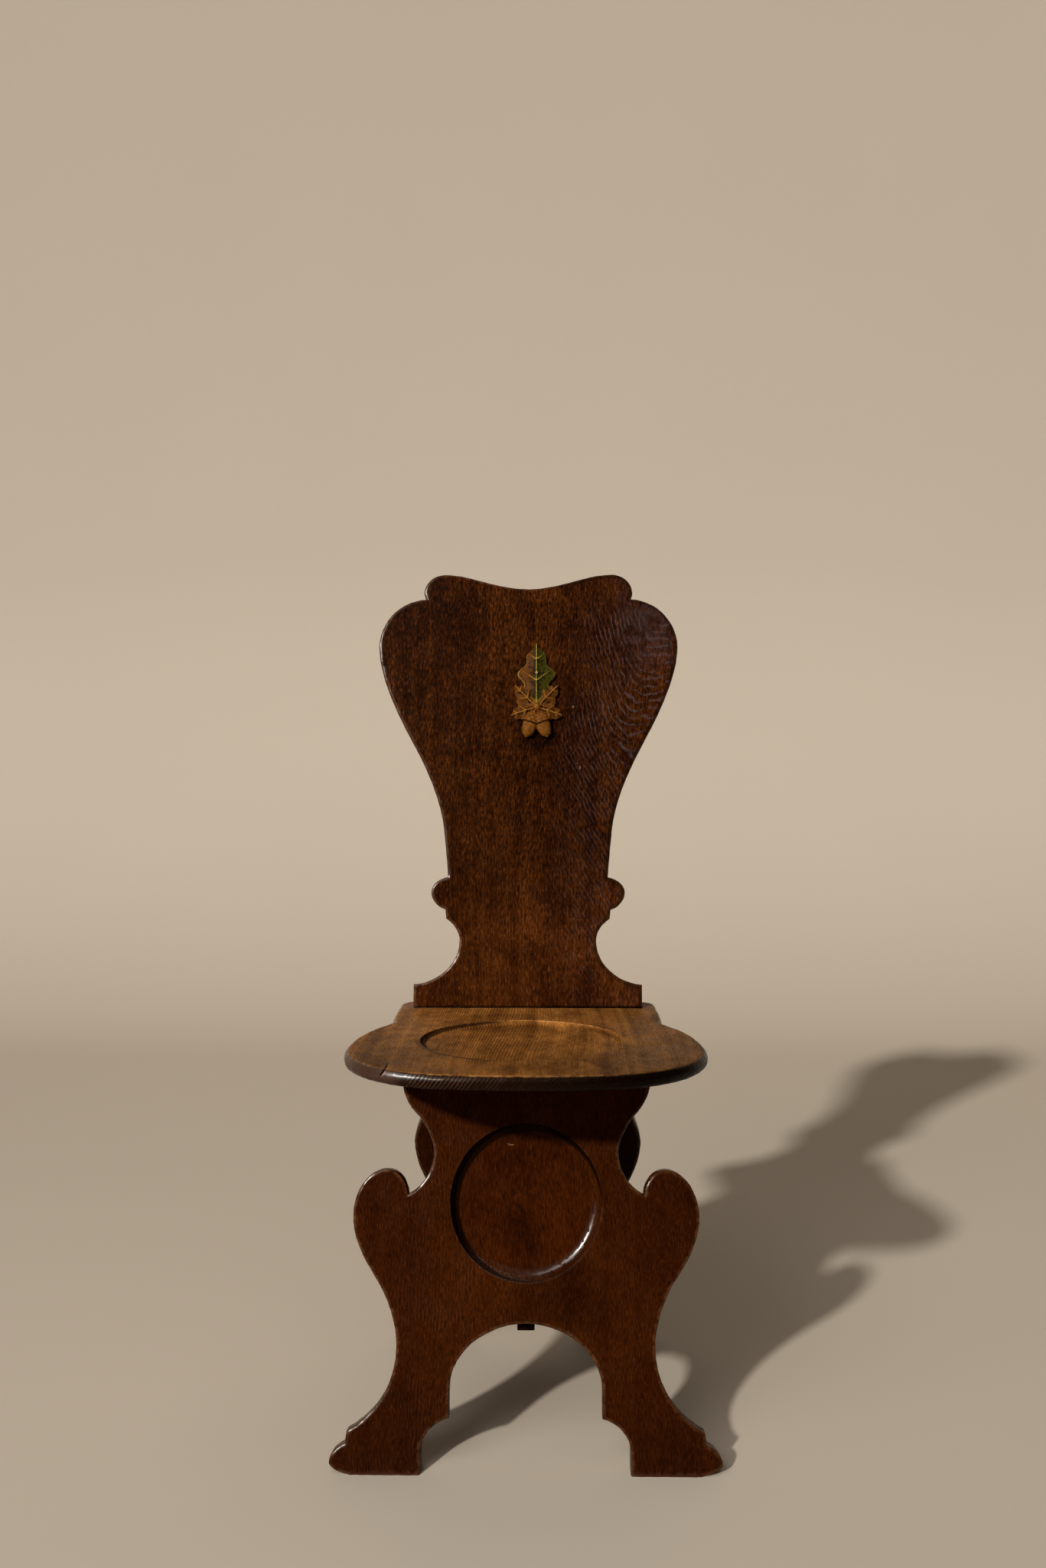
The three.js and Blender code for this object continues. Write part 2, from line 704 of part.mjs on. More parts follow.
// Crest: an oak leaf over two side leaves and two acorns, all growing from one boss.
const crestPlace = new THREE.Matrix4().makeTranslation(CREST_OFFSET, CREST_HEIGHT, JOINT_GAP);
const crestFrame = backFrame.clone().multiply(crestPlace);

const leafLobes = 4;
const leafLobeShare = 0.17;
const leafFootShare = 0.08;
const leafSwellShare = 0.85;
const leafDomeShare = 0.62;
const ballRiseShare = 1.3;

// A leaf grows up from the origin: its width swells once and ripples into rounded lobes.
function leafShape(length, width) {
  const right = [];
  for (let i = 0; i <= LEAF_FACETS; i += 1) {
    const share = i / LEAF_FACETS;
    const swell = Math.sin(Math.PI * Math.pow(share, leafSwellShare));
    const ripple = 1 - leafLobeShare * (1 + Math.cos(2 * Math.PI * leafLobes * share));
    const half = (width / 2) * (swell * ripple + leafFootShare * (1 - share));
    right.push(new THREE.Vector2(half, length * share));
  }
  const left = right.slice(0, -1).reverse().map((point) => new THREE.Vector2(-point.x, point.y));
  return new THREE.Shape([...right, ...left]);
}

// A leaf's face is domed: it is highest in the middle and thins towards the rim.
function raisedLeaf(length, width, turn) {
  const blank = new THREE.ExtrudeGeometry(leafShape(length, width), {
    depth: CREST_THICKNESS,
    bevelEnabled: false,
  });
  const dome = new THREE.SphereGeometry(1, LEAF_FACETS, BALL_FACETS);
  dome.scale(width * leafDomeShare, length * leafDomeShare, CREST_THICKNESS);
  dome.translate(0, length / 2, 0);
  return overlap(blank, dome).rotateZ(radians(turn));
}

function raisedBall(width, length, distance, turn) {
  const geometry = new THREE.SphereGeometry(1, BALL_FACETS, BALL_FACETS / 2);
  geometry.scale(width / 2, length / 2, CREST_THICKNESS * ballRiseShare);
  return geometry.translate(0, distance, 0).rotateZ(radians(turn));
}

function crestCarving(pinHoles) {
  const boss = raisedBall(CREST_BOSS_RADIUS * 2, CREST_BOSS_RADIUS * 2, 0, 0);
  const parts = [raisedLeaf(LEAF_LENGTH, LEAF_WIDTH, 0), boss];
  for (const side of [-1, 1]) {
    parts.push(raisedLeaf(SIDE_LEAF_LENGTH, SIDE_LEAF_WIDTH, side * SIDE_LEAF_TURN));
    const distance = (CREST_BOSS_RADIUS + ACORN_LENGTH) / 2;
    parts.push(raisedBall(ACORN_WIDTH, ACORN_LENGTH, distance, side * ACORN_TURN));
  }
  const low = new THREE.Vector3(-reach, -reach, -reach);
  const behind = boxTool(low, new THREE.Vector3(reach, reach, 0), crestFrame);
  return cut(join(...parts), crestFrame, [behind, ...pinHoles]);
}

// A pin runs down -Z of its frame, from its head on the carving's face into the back board.
function pinBody(grow) {
  const body = PIN_RADIUS + grow;
  const head = PIN_HEAD_RADIUS + grow;
  const top = grow > 0 ? OVERRUN : PIN_HEAD_HEIGHT;
  const profile = [
    new THREE.Vector2(0, -PIN_LENGTH - grow),
    new THREE.Vector2(body, -PIN_LENGTH + PIN_RADIUS - grow),
    new THREE.Vector2(body, -grow),
    new THREE.Vector2(head, -grow),
    new THREE.Vector2(head, top),
    new THREE.Vector2(0, top),
  ];
  return new THREE.LatheGeometry(profile, SCREW_FACETS).rotateX(Math.PI / 2);
}

function pinFrame(height) {
  const place = new THREE.Matrix4().makeTranslation(0, height, PIN_SEAT_DEPTH);
  return crestFrame.clone().multiply(place);
}

// Materials, one for each finish of the chair.
function finish(color, roughness, metalness = 0) {
  return () => new THREE.MeshStandardMaterial({ color, roughness, metalness });
}

const darkOak = finish("#3a2013", 0.38);
const seatOak = finish("#5d3a20", 0.45);
const rawOak = finish("#6b4d31", 0.7);
const gildedOak = finish("#8c6630", 0.55);
const steel = finish("#5b5650", 0.45, 0.9);
const brass = finish("#8a6a34", 0.4, 0.9);

const chair = new THREE.Group();

function addPiece(name, geometry, material, frame = chairFrame) {
  const mesh = new THREE.Mesh(geometry, material());
  mesh.name = name;
  mesh.applyMatrix4(frame);
  chair.add(mesh);
}

const screws = [];
for (const row of blockRows) {
  for (const { hand, side } of blockSides) {
    for (const into of ["seat", "leg"]) {
      const frame = screwFrame(row, side, into);
      screws.push({ name: `screw_${row.row}_${hand}_${into}`, row, side, into, frame });
    }
  }
}

function screwHoles(wanted) {
  return screws.filter(wanted).map((each) => inChair(screwBody(JOINT_GAP), each.frame));
}

const pins = [
  { name: "crest_pin_upper", frame: pinFrame(PIN_UPPER_HEIGHT) },
  { name: "crest_pin_lower", frame: pinFrame(-PIN_LOWER_DROP) },
];
const pinHoles = pins.map((pin) => inChair(pinBody(JOINT_GAP), pin.frame));

addPiece("seat_board", seatBoard(screwHoles(({ into }) => into === "seat")), seatOak);
addPiece("back_board", backBoard(pinHoles), darkOak, backFrame);
addPiece("back_wedge_left", wedgePiece(-1), rawOak, backFrame);
addPiece("back_wedge_right", wedgePiece(1), rawOak, backFrame);

for (const { row, frame, outline, tenon } of legBoards) {
  const holes = screwHoles((each) => each.row.row === row && each.into === "leg");
  const mortise = stretcherTenon(...tenon, JOINT_GAP);
  const panel = roundSinking(PANEL_RADIUS, PANEL_DEPTH, PANEL_WALL, panelFrame);
  const cuts = row === "front" ? [mortise, panel, ...holes] : [mortise, ...holes];
  addPiece(`${row}_leg_board`, legBoard(outline(), frame, cuts), darkOak, frame);
}
addPiece("centre_stretcher", stretcher(), darkOak);

for (const row of blockRows) {
  for (const { hand, side } of blockSides) {
    const frame = blockFrame(row, side);
    const holes = screwHoles((each) => each.row === row && each.side === side);
    addPiece(`glue_block_${row.row}_${hand}`, glueBlock(frame, holes), rawOak, frame);
  }
}
for (const { name, frame } of screws) {
  addPiece(name, screw(), steel, frame);
}

addPiece("crest_carving", crestCarving(pinHoles), gildedOak, crestFrame);
for (const { name, frame } of pins) {
  addPiece(name, pinBody(0), brass, frame);
}

// The pieces were placed from the seat's front edge, so the chair moves to stand over its origin.
const bounds = new THREE.Box3().setFromObject(chair);
chair.position.y = -(bounds.min.y + bounds.max.y) / 2;

export default chair;
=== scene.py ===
"""Dresses the oak hall chair: worn boards, grain and wax, a carved spray and a plain stage."""

from math import atan2, cos, exp, hypot, pi, radians, sin, sqrt

import bmesh
import bpy
from mathutils import Matrix, Vector


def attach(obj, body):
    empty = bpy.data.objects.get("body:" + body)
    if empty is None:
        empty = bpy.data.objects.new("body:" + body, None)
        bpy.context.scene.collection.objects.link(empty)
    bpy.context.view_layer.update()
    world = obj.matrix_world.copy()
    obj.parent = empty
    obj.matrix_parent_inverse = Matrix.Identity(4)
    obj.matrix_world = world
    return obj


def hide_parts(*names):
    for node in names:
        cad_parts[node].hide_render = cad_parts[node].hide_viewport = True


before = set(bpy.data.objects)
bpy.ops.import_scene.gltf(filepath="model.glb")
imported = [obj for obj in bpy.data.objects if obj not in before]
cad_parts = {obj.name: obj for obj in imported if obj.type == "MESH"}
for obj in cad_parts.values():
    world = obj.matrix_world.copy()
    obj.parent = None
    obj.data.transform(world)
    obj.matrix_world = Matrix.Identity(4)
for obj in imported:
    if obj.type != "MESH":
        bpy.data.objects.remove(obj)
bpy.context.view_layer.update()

bl_info = {
    "name": "Oak Hall Chair",
    "version": (1, 0, 0),
    "blender": (4, 5, 0),
    "location": "3D View > Sidebar > Hall Chair",
    "description": "Dresses a board-seated oak hall chair around its packed frame",
    "category": "Object",
}

MM = 0.001

# Places on the chair, in metres and degrees.
BACK_LEAN = 10
LEG_RAKE = 13
SEAT_FOOT = (0, 0, 0.44)
BACK_FOOT = (0, 0.1274, 0.44)
FRONT_LEG_FOOT = (0, -0.1463, 0)
REAR_LEG_FOOT = (0, 0.1739, 0)
DISH_CENTRE = (-0.005, -0.0654)
DISH_RADIUS = 0.112
PANEL_CENTRE = (0, 0.273)
PANEL_RADIUS = 0.0825
CREST_HEIGHT = 0.387
CREST_OFFSET = 0.011

# The dark end grain of the seat starts between these distances from the dish's centre.
NOSE_START, NOSE_END = 0.113, 0.116

# Up the back board's right side the rings turn over at this height, between these distances across.
BRANCH_HEIGHT = 0.34
TURN_START, TURN_END = 0.085, 0.135

# Stains, and at the stretcher's front end painted shade: place across, place along, reach, and the light that
# is left in the middle.
SEAT_STAINS = ((0.0, -0.085, 0.045, 0.70),)
FRONT_LEG_STAINS = (
    (0.066, 0.166, 0.055, 0.60),
    (0.018, 0.174, 0.06, 0.58),
    (0.0, 0.243, 0.045, 0.62),
)
# The stretcher's front end, seen under the arch, is painted dark as shade.
STRETCHER_END_SHADE = ((0.0, -0.125, 0.13, 0.07),)

# Nicks: place across, place along, half width, half height and strength.
SEAT_NICKS = ((-0.066, 0.1245, 0.012, 0.0012, 0.5),)
BACK_NICKS = (
    (0.059, 0.389, 0.0018, 0.0020, 0.4),
    (0.0675, 0.3085, 0.0013, 0.0032, 0.5),
    (0.064, 0.3135, 0.001, 0.0018, 0.3),
)
FRONT_LEG_NICKS = (
    (-0.0160, 0.3325, 0.0042, 0.0008, 0.5),
    (-0.0198, 0.3335, 0.0016, 0.0006, 0.45),
)

# Tints that a wood's colour is multiplied by.
PLAIN = (1, 1, 1, 1)
GOLDEN = (1.08, 0.96, 0.78, 1)
RED_BROWN = (0.84, 0.71, 0.70, 1)
HOLLOW_RED = (0.93, 0.82, 0.74, 1)
STROKE_BROWN = (0.50, 0.41, 0.32, 1)
WAX_TINT = (1.0, 0.82, 0.66, 1)


# ------ bench


def take(*pieces):
    """Only these pieces are selected, and the last one is active."""
    if bpy.context.object and bpy.context.object.mode != "OBJECT":
        bpy.ops.object.mode_set(mode="OBJECT")
    bpy.ops.object.select_all(action="DESELECT")
    for piece in pieces:
        piece.select_set(True)
    if pieces:
        bpy.context.view_layer.objects.active = pieces[-1]


def edit(piece):
    """Opens the piece in edit mode with all of it selected."""
    take(piece)
    bpy.ops.object.mode_set(mode="EDIT")
    bpy.ops.mesh.select_mode(type="VERT")
    bpy.ops.mesh.select_all(action="SELECT")


def leave():
    bpy.ops.object.mode_set(mode="OBJECT")


def choose_edges(piece, wanted):
    """Selects, in edit mode, the edges that a test picks out."""
    mesh = bmesh.from_edit_mesh(piece.data)
    bpy.ops.mesh.select_all(action="DESELECT")
    for item in mesh.edges:
        if wanted(item):
            item.select_set(True)
    mesh.select_flush_mode()
    bmesh.update_edit_mesh(piece.data)


def settle(piece):
    """The piece's place goes into its mesh, so that its object sits at the origin."""
    take(piece)
    bpy.ops.object.transform_apply(location=True, rotation=True, scale=True)


def smooth(piece, angle):
    """Rounds the shading over turns below an angle in degrees."""
    take(piece)
    bpy.ops.object.shade_smooth_by_angle(angle=radians(angle))


def outward(piece):
    """Joins doubled points and turns every face outward."""
    edit(piece)
    bpy.ops.mesh.remove_doubles(threshold=0.00001)
    bpy.ops.mesh.normals_make_consistent(inside=False)
    leave()


def coat(piece, finish):
    piece.data.materials.clear()
    piece.data.materials.append(finish)


def dress(piece, slot, *nodes):
    """Gives the piece its body and hides the frame nodes that it stands for. The slot is not used."""
    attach(piece, "root")
    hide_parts(*nodes)


def copy_node(name, node):
    """A copy of a frame node, with its loose triangles joined and its flat faces made whole."""
    piece = bpy.data.objects.new(name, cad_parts[node].data.copy())
    bpy.context.scene.collection.objects.link(piece)
    edit(piece)
    if piece.data.has_custom_normals:
        bpy.ops.mesh.customdata_custom_splitnormals_clear()
    bpy.ops.mesh.remove_doubles(threshold=0.00001)
    bpy.ops.mesh.dissolve_limited(angle_limit=radians(0.5))
    leave()
    return piece


def board_axes(lean):
    """Across, along and out directions of a board that leans back by so many degrees, or lies flat."""
    if lean is None:
        return tuple(Matrix.Identity(3))
    a = radians(lean)
    return Vector((1, 0, 0)), Vector((0, sin(a), cos(a))), Vector((0, -cos(a), sin(a)))


def cut_grid(piece, step, axes):
    """Cuts the board's surface into squares, so that wear has something to move."""
    for axis in axes:
        reach = [v.co.dot(axis) for v in piece.data.vertices]
        low, high = min(reach), max(reach)
        count = int((high - low) / step)
        gap = (high - low) / (count + 1)
        edit(piece)
        for i in range(1, count + 1):
            bpy.ops.mesh.select_all(action="SELECT")
            bpy.ops.mesh.bisect(plane_co=axis * (low + gap * i), plane_no=axis, use_fill=False)
        leave()


def mark_arris(piece, reach, sharp=14):
    """Marks how near each point is to a sharp outward turn; the rubbing and the wax follow it."""
    mesh = bmesh.new()
    mesh.from_mesh(piece.data)
    turning = set()
    for e in mesh.edges:
        if len(e.link_faces) == 2 and e.calc_face_angle(0) > radians(sharp) and e.is_convex:
            turning.update(v.index for v in e.verts)
    mesh.verts.ensure_lookup_table()
    far = {i: 0.0 for i in turning}
    ring = list(turning)
    while ring:
        after = []
        for i in ring:
            for e in mesh.verts[i].link_edges:
                j = e.other_vert(mesh.verts[i]).index
                d = far[i] + e.calc_length()
                if d < reach and d < far.get(j, reach):
                    far[j] = d
                    after.append(j)
        ring = after
    mesh.free()
    group = piece.vertex_groups.new(name="arris")
    values = [0.0] * len(piece.data.vertices)
    for i, d in far.items():
        values[i] = 1 - d / reach
        group.add([i], values[i], "REPLACE")
    wear = piece.data.attributes.new("wear", "FLOAT", "POINT")
    wear.data.foreach_set("value", values)


def displace(piece, name, size, depth, middle=0.5, group="", contrast=1.0):
    """Moves the surface in and out by a soft cloud, over the whole piece or in one group."""
    cloud = bpy.data.textures.new(name, "CLOUDS")
    cloud.noise_scale = size
    cloud.noise_depth = 2
    cloud.contrast = contrast
    modifier = piece.modifiers.new(name, "DISPLACE")
    modifier.texture = cloud
    modifier.texture_coords = "LOCAL"
    modifier.direction = "NORMAL"
    modifier.mid_level = middle
    modifier.strength = depth
    modifier.vertex_group = group


def worn_board(name, node, lean, finish, slot):
    """One of the chair's boards with a hand-planed face and arrises rubbed and dented by use."""
    boards = bpy.context.scene.hall_chair_boards
    piece = copy_node(name, node)
    cut_grid(piece, boards.mesh_step, board_axes(lean)[:2])
    mark_arris(piece, boards.arris_reach)
    displace(piece, name + "_plane", boards.plane_size, boards.plane_depth)
    displace(piece, name + "_rub", boards.rub_size, boards.rub_depth, 0.85, "arris", 1.6)
    take(piece)
    for modifier in list(piece.modifiers):
        bpy.ops.object.modifier_apply(modifier=modifier.name)
    piece.vertex_groups.clear()
    smooth(piece, 38)
    coat(piece, finish)
    dress(piece, slot, node)


# ------ finishes


class Value:
    """A number that a finish works out at every point. A sum with it adds a node."""

    def __init__(self, finish, socket):
        self.finish, self.socket = finish, socket

    def math(self, operation, *others):
        node = self.finish.add("Math", self, *others, operation=operation)
        return Value(self.finish, node.outputs[0])

    def __add__(self, other):
        return self.math("ADD", other)

    def __sub__(self, other):
        return self.math("SUBTRACT", other)

    def __rsub__(self, other):
        node = self.finish.add("Math", other, self, operation="SUBTRACT")
        return Value(self.finish, node.outputs[0])

    def __mul__(self, other):
        return self.math("MULTIPLY", other)

    __rmul__ = __mul__

    def __abs__(self):
        return self.math("ABSOLUTE")

    def most(self, other):
        return self.math("MAXIMUM", other)

    def wave(self, period):
        return (self * (2 * pi / period)).math("SINE")

    def swing(self, amount):
        """A noise moved to lie on both sides of zero, and scaled."""
        return (self - 0.5) * amount

    def fade(self, low, high, to_low=0, to_high=1, kind="SMOOTHSTEP"):
        """Goes from one number to another as this value goes from low to high, or high to low."""
        if low > high:
            low, high, to_low, to_high = high, low, to_high, to_low
        values = (self, low, high, to_low, to_high)
        node = self.finish.add("MapRange", *values, interpolation_type=kind)
        return Value(self.finish, node.outputs[0])

    def spread(self, low, high, depth, lift=1):
        """A factor that goes evenly from below 1 to above 1."""
        return self.fade(low, high, 1 - depth, 1 + depth * lift, "LINEAR")


class Finish:
    """Builds one material, step by step. The scales of its noises are in cycles per metre."""

    def __init__(self, name):
        self.colours = bpy.context.scene.hall_chair_colours
        self.material = bpy.data.materials.new(name)
        self.material.use_nodes = True
        self.tree = self.material.node_tree
        self.tree.nodes.clear()
        self.shader = self.add("BsdfPrincipled")
        self.add("OutputMaterial", self.shader.outputs["BSDF"])

    def add(self, kind, *values, **settings):
        node = self.tree.nodes.new("ShaderNode" + kind)
        for key, value in settings.items():
            setattr(node, key, value)
        for place, value in enumerate(values):
            self.feed(node, place, value)
        return node

    def feed(self, node, place, value):
        """Links a value to one of a node's inputs, or sets a plain number or colour there."""
        if isinstance(value, Value):
            value = value.socket
        if isinstance(value, bpy.types.NodeSocket):
            self.tree.links.new(value, node.inputs[place])
        elif value is not None:
            node.inputs[place].default_value = value

    def surface(self, name, value):
        self.feed(self.shader, name, value)

    def hue(self, name):
        return (*getattr(self.colours, name), 1)

    def lay(self, colour, name, amount):
        """Lays one of the chair's colours over another."""
        return self.mix(amount, colour, self.hue(name))

    def vector(self, operation, a, b=None):
        outputs = self.add("VectorMath", a, b, operation=operation).outputs
        return Value(self, outputs["Value"]) if operation in {"LENGTH", "DISTANCE"} else outputs[0]

    def noise(self, vector, scale, detail=2, *settings):
        node = self.add("TexNoise")
        self.feed(node, "Vector", vector)
        return self.tune(node, scale, detail, *settings)

    def line_noise(self, value, scale, detail):
        """A noise that changes along one value alone."""
        node = self.add("TexNoise", noise_dimensions="1D")
        self.feed(node, "W", value)
        return self.tune(node, scale, detail)

    def tune(self, node, scale, detail, roughness=0.5, distortion=0):
        names = ("Scale", "Detail", "Roughness", "Distortion")
        for name, value in zip(names, (scale, detail, roughness, distortion)):
            node.inputs[name].default_value = value
        return Value(self, node.outputs["Fac"])

    def mix(self, factor, a, b, mode="MIX"):
        node = self.add("Mix", factor, data_type="RGBA", blend_type=mode, clamp_factor=True)
        self.feed(node, 6, a)
        self.feed(node, 7, b)
        return node.outputs[2]

    def tint(self, colour, other):
        return self.mix(1, colour, other, "MULTIPLY")

    def shade(self, colour, light):
        return self.tint(colour, self.join(light, light, light))

    def place(self, lean=None, foot=(0, 0, 0)):
        """Object coordinates with X turned across the board, Y along its grain and Z through it."""
        turn = 0 if lean is None else -radians(90 - lean)
        shift = -(Matrix.Rotation(turn, 3, "X") @ Vector(foot))
        node = self.add("Mapping", self.add("TexCoord").outputs["Object"])
        node.inputs["Rotation"].default_value = (turn, 0, 0)
        node.inputs["Location"].default_value = shift
        return node.outputs["Vector"]

    def split(self, vector):
        return [Value(self, socket) for socket in self.add("SeparateXYZ", vector).outputs]

    def join(self, x, y, z=0):
        return self.add("CombineXYZ", x, y, z).outputs[0]

    def attribute(self, name):
        return Value(self, self.add("Attribute", attribute_name=name).outputs["Fac"])

    def bump(self, height, distance, normal=None):
        node = self.add("Bump")
        node.inputs["Distance"].default_value = distance
        self.feed(node, "Height", height)
        self.feed(node, "Normal", normal)
        return node.outputs["Normal"]


class Oak(Finish):
    """Waxed oak of the rear leg and the stretcher. The other boards' classes change what differs.

    Its axes are x across the board, y along its grain and z through it, 0 at the face and less behind.
    """

    fibre_size, fibre_depth = 1000, 0.48
    fleck_size, fleck_length, fleck_depth = 860, 0.2, 0.44
    contrast = None
    mottle = 0.07
    tone_range = (-0.02, 1.18)
    silk_amount, pore_amount, rub_amount = 0.28, 0.6, 0.6
    deep, warm, bare = "board_deep", "board_warm", "rubbed"
    reflection, coat_roughness = 0.02, 0.22

    def __init__(self, name, lean=None, foot=(0, 0, 0), seed=0.0, light=1.0):
        super().__init__(name)
        self.light = light
        place = self.place(lean, foot)
        self.axes = x, y, z = self.split(place)
        self.spot = self.vector("ADD", place, (seed, seed * 0.7, seed * 1.3))
        self.wear = self.attribute("wear")

        # The grain wanders slowly from side to side as it goes up the board.
        drifted = x + self.stretched((5, 1.6, 5), 1).swing(0.06)
        self.rings = drifted + z * 0.8
        self.fine_rings = self.line_noise(self.rings, 200, 1)

        # Fibres, flecks and pores are noises drawn out along the grain.
        self.fibres = self.noise(self.join(drifted, y * 0.07, z * 0.6), self.fibre_size, 3, 0.65)
        flecks = self.join(drifted, y * self.fleck_length, z)
        self.flecks = self.noise(flecks, self.fleck_size, 3, 0.72)
        pores = self.noise(self.join(drifted, y * 0.12, z), 900, 1)
        self.pores = pores.fade(0.53, 0.66) * self.fine_rings.fade(0.35, 0.65, 0.3, 1)

        # Uneven colour comes from blotches, slow clouds and the broad rings.
        self.blotch = self.stretched((26, 17, 26), 4, 0.65, 0.4)
        self.cloud = self.stretched((7, 4.5, 7), 2)
        broad = self.line_noise(self.rings, 70, 2)
        self.tone = self.blotch * 0.7 + self.cloud * 0.5 + broad.swing(0.45)
        self.patchy = self.patch(160, 3, 0.6)
        self.ripple = self.patch(75).swing(0.022)
        self.broken = self.patch(70, 3).fade(0.38, 0.62, 0.15, 1)

    def patch(self, *settings):
        return self.noise(self.spot, *settings)

    def stretched(self, scales, *settings):
        return self.noise(self.vector("MULTIPLY", self.spot, scales), 1, *settings)

    def from_point(self, x, y):
        """Distance on the board's face from a point of it."""
        return self.vector("DISTANCE", self.join(*self.axes[:2]), (x, y, 0))

    def ring_lines(self, tremble, period):
        return (self.rings + self.ripple * tremble).wave(period)

    def figure_and_sheen(self, colour, amount, paler=1):
        """Lays the dry, silvery figure on the wood; on the back's shoulder it is partly a painted sheen, and on
        the seat's rear corners a painted reflection.
        """
        return self.mix(amount * 0.85, colour, self.mix(paler, self.hue("figure_and_sheen"), self.hue("silk")))

    def crescent(self, centre, radius, wide, push, shrink):
        """Distance from a hollow's centre, and a painted shadow: a dark crescent inside the rim where the wall
        shades the hollow.
        """
        away = self.from_point(*centre)
        inner = self.from_point(*(c + wide * p for c, p in zip(centre, push)))
        edge = radius - wide * shrink
        return away, inner.fade(edge - MM, edge + MM) * away.fade(radius + 1.2 * MM, radius + 0.2 * MM)

    # The layers of the finish, from the bare wood up.

    def wood(self):
        return self.mix(self.tone.fade(*self.tone_range), self.hue(self.deep), self.hue(self.warm))

    def streak(self):
        """Light and dark along the fibres, as a factor."""
        streak = self.fibres.spread(0.3, 0.7, self.fibre_depth)
        streak *= self.flecks.spread(0.34, 0.66, self.fleck_depth, 1.1)
        if self.contrast:
            streak = streak.math("POWER", self.axes[1].fade(0.05, 0.32, *self.contrast))
        if self.mottle:
            streak *= self.patch(120, 3, 0.7).spread(0.32, 0.68, self.mottle)
        return streak

    def figure(self, colour):
        """Faint lines; the middle of the board has gone golden, and its sides stay red-brown."""
        x, y, z = self.axes
        side = abs(x) + self.cloud.swing(0.16)
        colour = self.tint(colour, self.mix(side.fade(0.05, 0.13), GOLDEN, RED_BROWN))
        faint = self.patch(24).fade(0.42, 0.62) * x.fade(0.05, -0.08, 0.06, 0.22)
        return self.figure_and_sheen(colour, self.ring_lines(0.3, 3.6 * MM).fade(0.5, 0.95) * self.broken * faint)

    def glint(self):
        return self.hue("rubbed")

    def fleck(self, colour):
        """Short silky streaks, partly wax in the pores and partly painted glints off their edges, and dark
        pores.
        """
        silk = self.flecks.fade(0.56, 0.74) * self.patch(38).fade(0.38, 0.62, 0.25, 1)
        colour = self.mix(silk * self.silk_amount, colour, self.glint())
        return self.lay(colour, "pore_and_shade", self.pores * self.pore_amount)

    def rubbed(self):
        """How far the arrises are rubbed, in patches."""
        return (self.wear * 0.55 + self.patchy * 0.6).fade(0.7, 1)

    def rub(self, colour):
        return self.lay(colour, self.bare, self.rubbed() * self.rub_amount)

    def hollow_wear_and_shade(self, colour):
        """Marks and painted shade in the hollows of sunk work, on the boards that have some."""
        return colour

    def nick(self, colour, nicks):
        """Small ragged marks that show fresh wood."""
        x, y = self.axes[:2]
        for mark_x, mark_y, wide, tall, strength in nicks:
            off = self.join((x - mark_x) * (1 / wide), (y - mark_y) * (1 / tall))
            away = self.vector("LENGTH", off) + (self.patchy - 0.5)
            colour = self.lay(colour, "chip", away.fade(1, 0.6) * strength)
        return colour

    def lightness(self):
        """How light the wood is, as a factor; on the rear leg and the stretcher it is lowered as painted shade.
        """
        return self.light

    def satin(self):
        """Roughness of the waxed wood, duller in the pores."""
        return self.patch(45, 3, 0.6).fade(0.3, 0.7, 0.21, 0.3) + self.pores * 0.25

    def polish(self):
        """How thick the polish lies: most on the handled arrises."""
        return (self.wear + self.patchy.swing(0.5)).fade(0.7, 1.15, 0, 0.38)

    def relief(self):
        """Sets the normal from the fibres, pores and rings, over the board's soft waves."""
        height = self.fibres * 0.7 - self.pores * 0.5 + self.fine_rings * 0.4
        soft = self.bump(self.patch(60), 0.3 * MM)
        self.surface("Normal", self.bump(height, 0.06 * MM, soft))
        return soft

    def finish(self, stains_and_shade=(), nicks=(), joint=0, dark_foot_height=0):
        """Lays the colours, then sets the shine. Joint and dark foot height are the heights of dark ends."""
        y = self.axes[1]
        colour = self.shade(self.wood(), self.streak())
        for layer in (self.figure, self.fleck, self.rub, self.hollow_wear_and_shade):
            colour = layer(colour)
        colour = self.nick(colour, nicks)
        light = self.lightness()
        # Stains, and on the stretcher painted shade.
        for stain_x, stain_y, reach, left in stains_and_shade:
            away = self.from_point(stain_x, stain_y) + self.blotch.swing(reach)
            light = away.fade(0, reach, left, 1) * light
        if joint:
            light *= y.fade(1.5 * MM, joint, 0.25, 1)
        # The feet grow darker towards the bottom, and paler where the soles are scraped.
        if dark_foot_height:
            light = y.fade(0, dark_foot_height, 0.74, 1) * light
            scraped = (y + self.patchy * (12 * MM)).fade(12 * MM, 6 * MM)
            colour = self.lay(colour, "silk", scraped * 0.3)
        self.surface("Base Color", self.shade(colour, light))
        self.surface("Roughness", self.satin())
        self.surface("Coat Weight", self.polish())
        self.surface("Specular IOR Level", self.reflection)
        self.surface("Specular Tint", WAX_TINT)
        self.surface("Coat Roughness", self.coat_roughness)
        self.surface("Coat IOR", 1.5)
        self.relief()
        return self.material


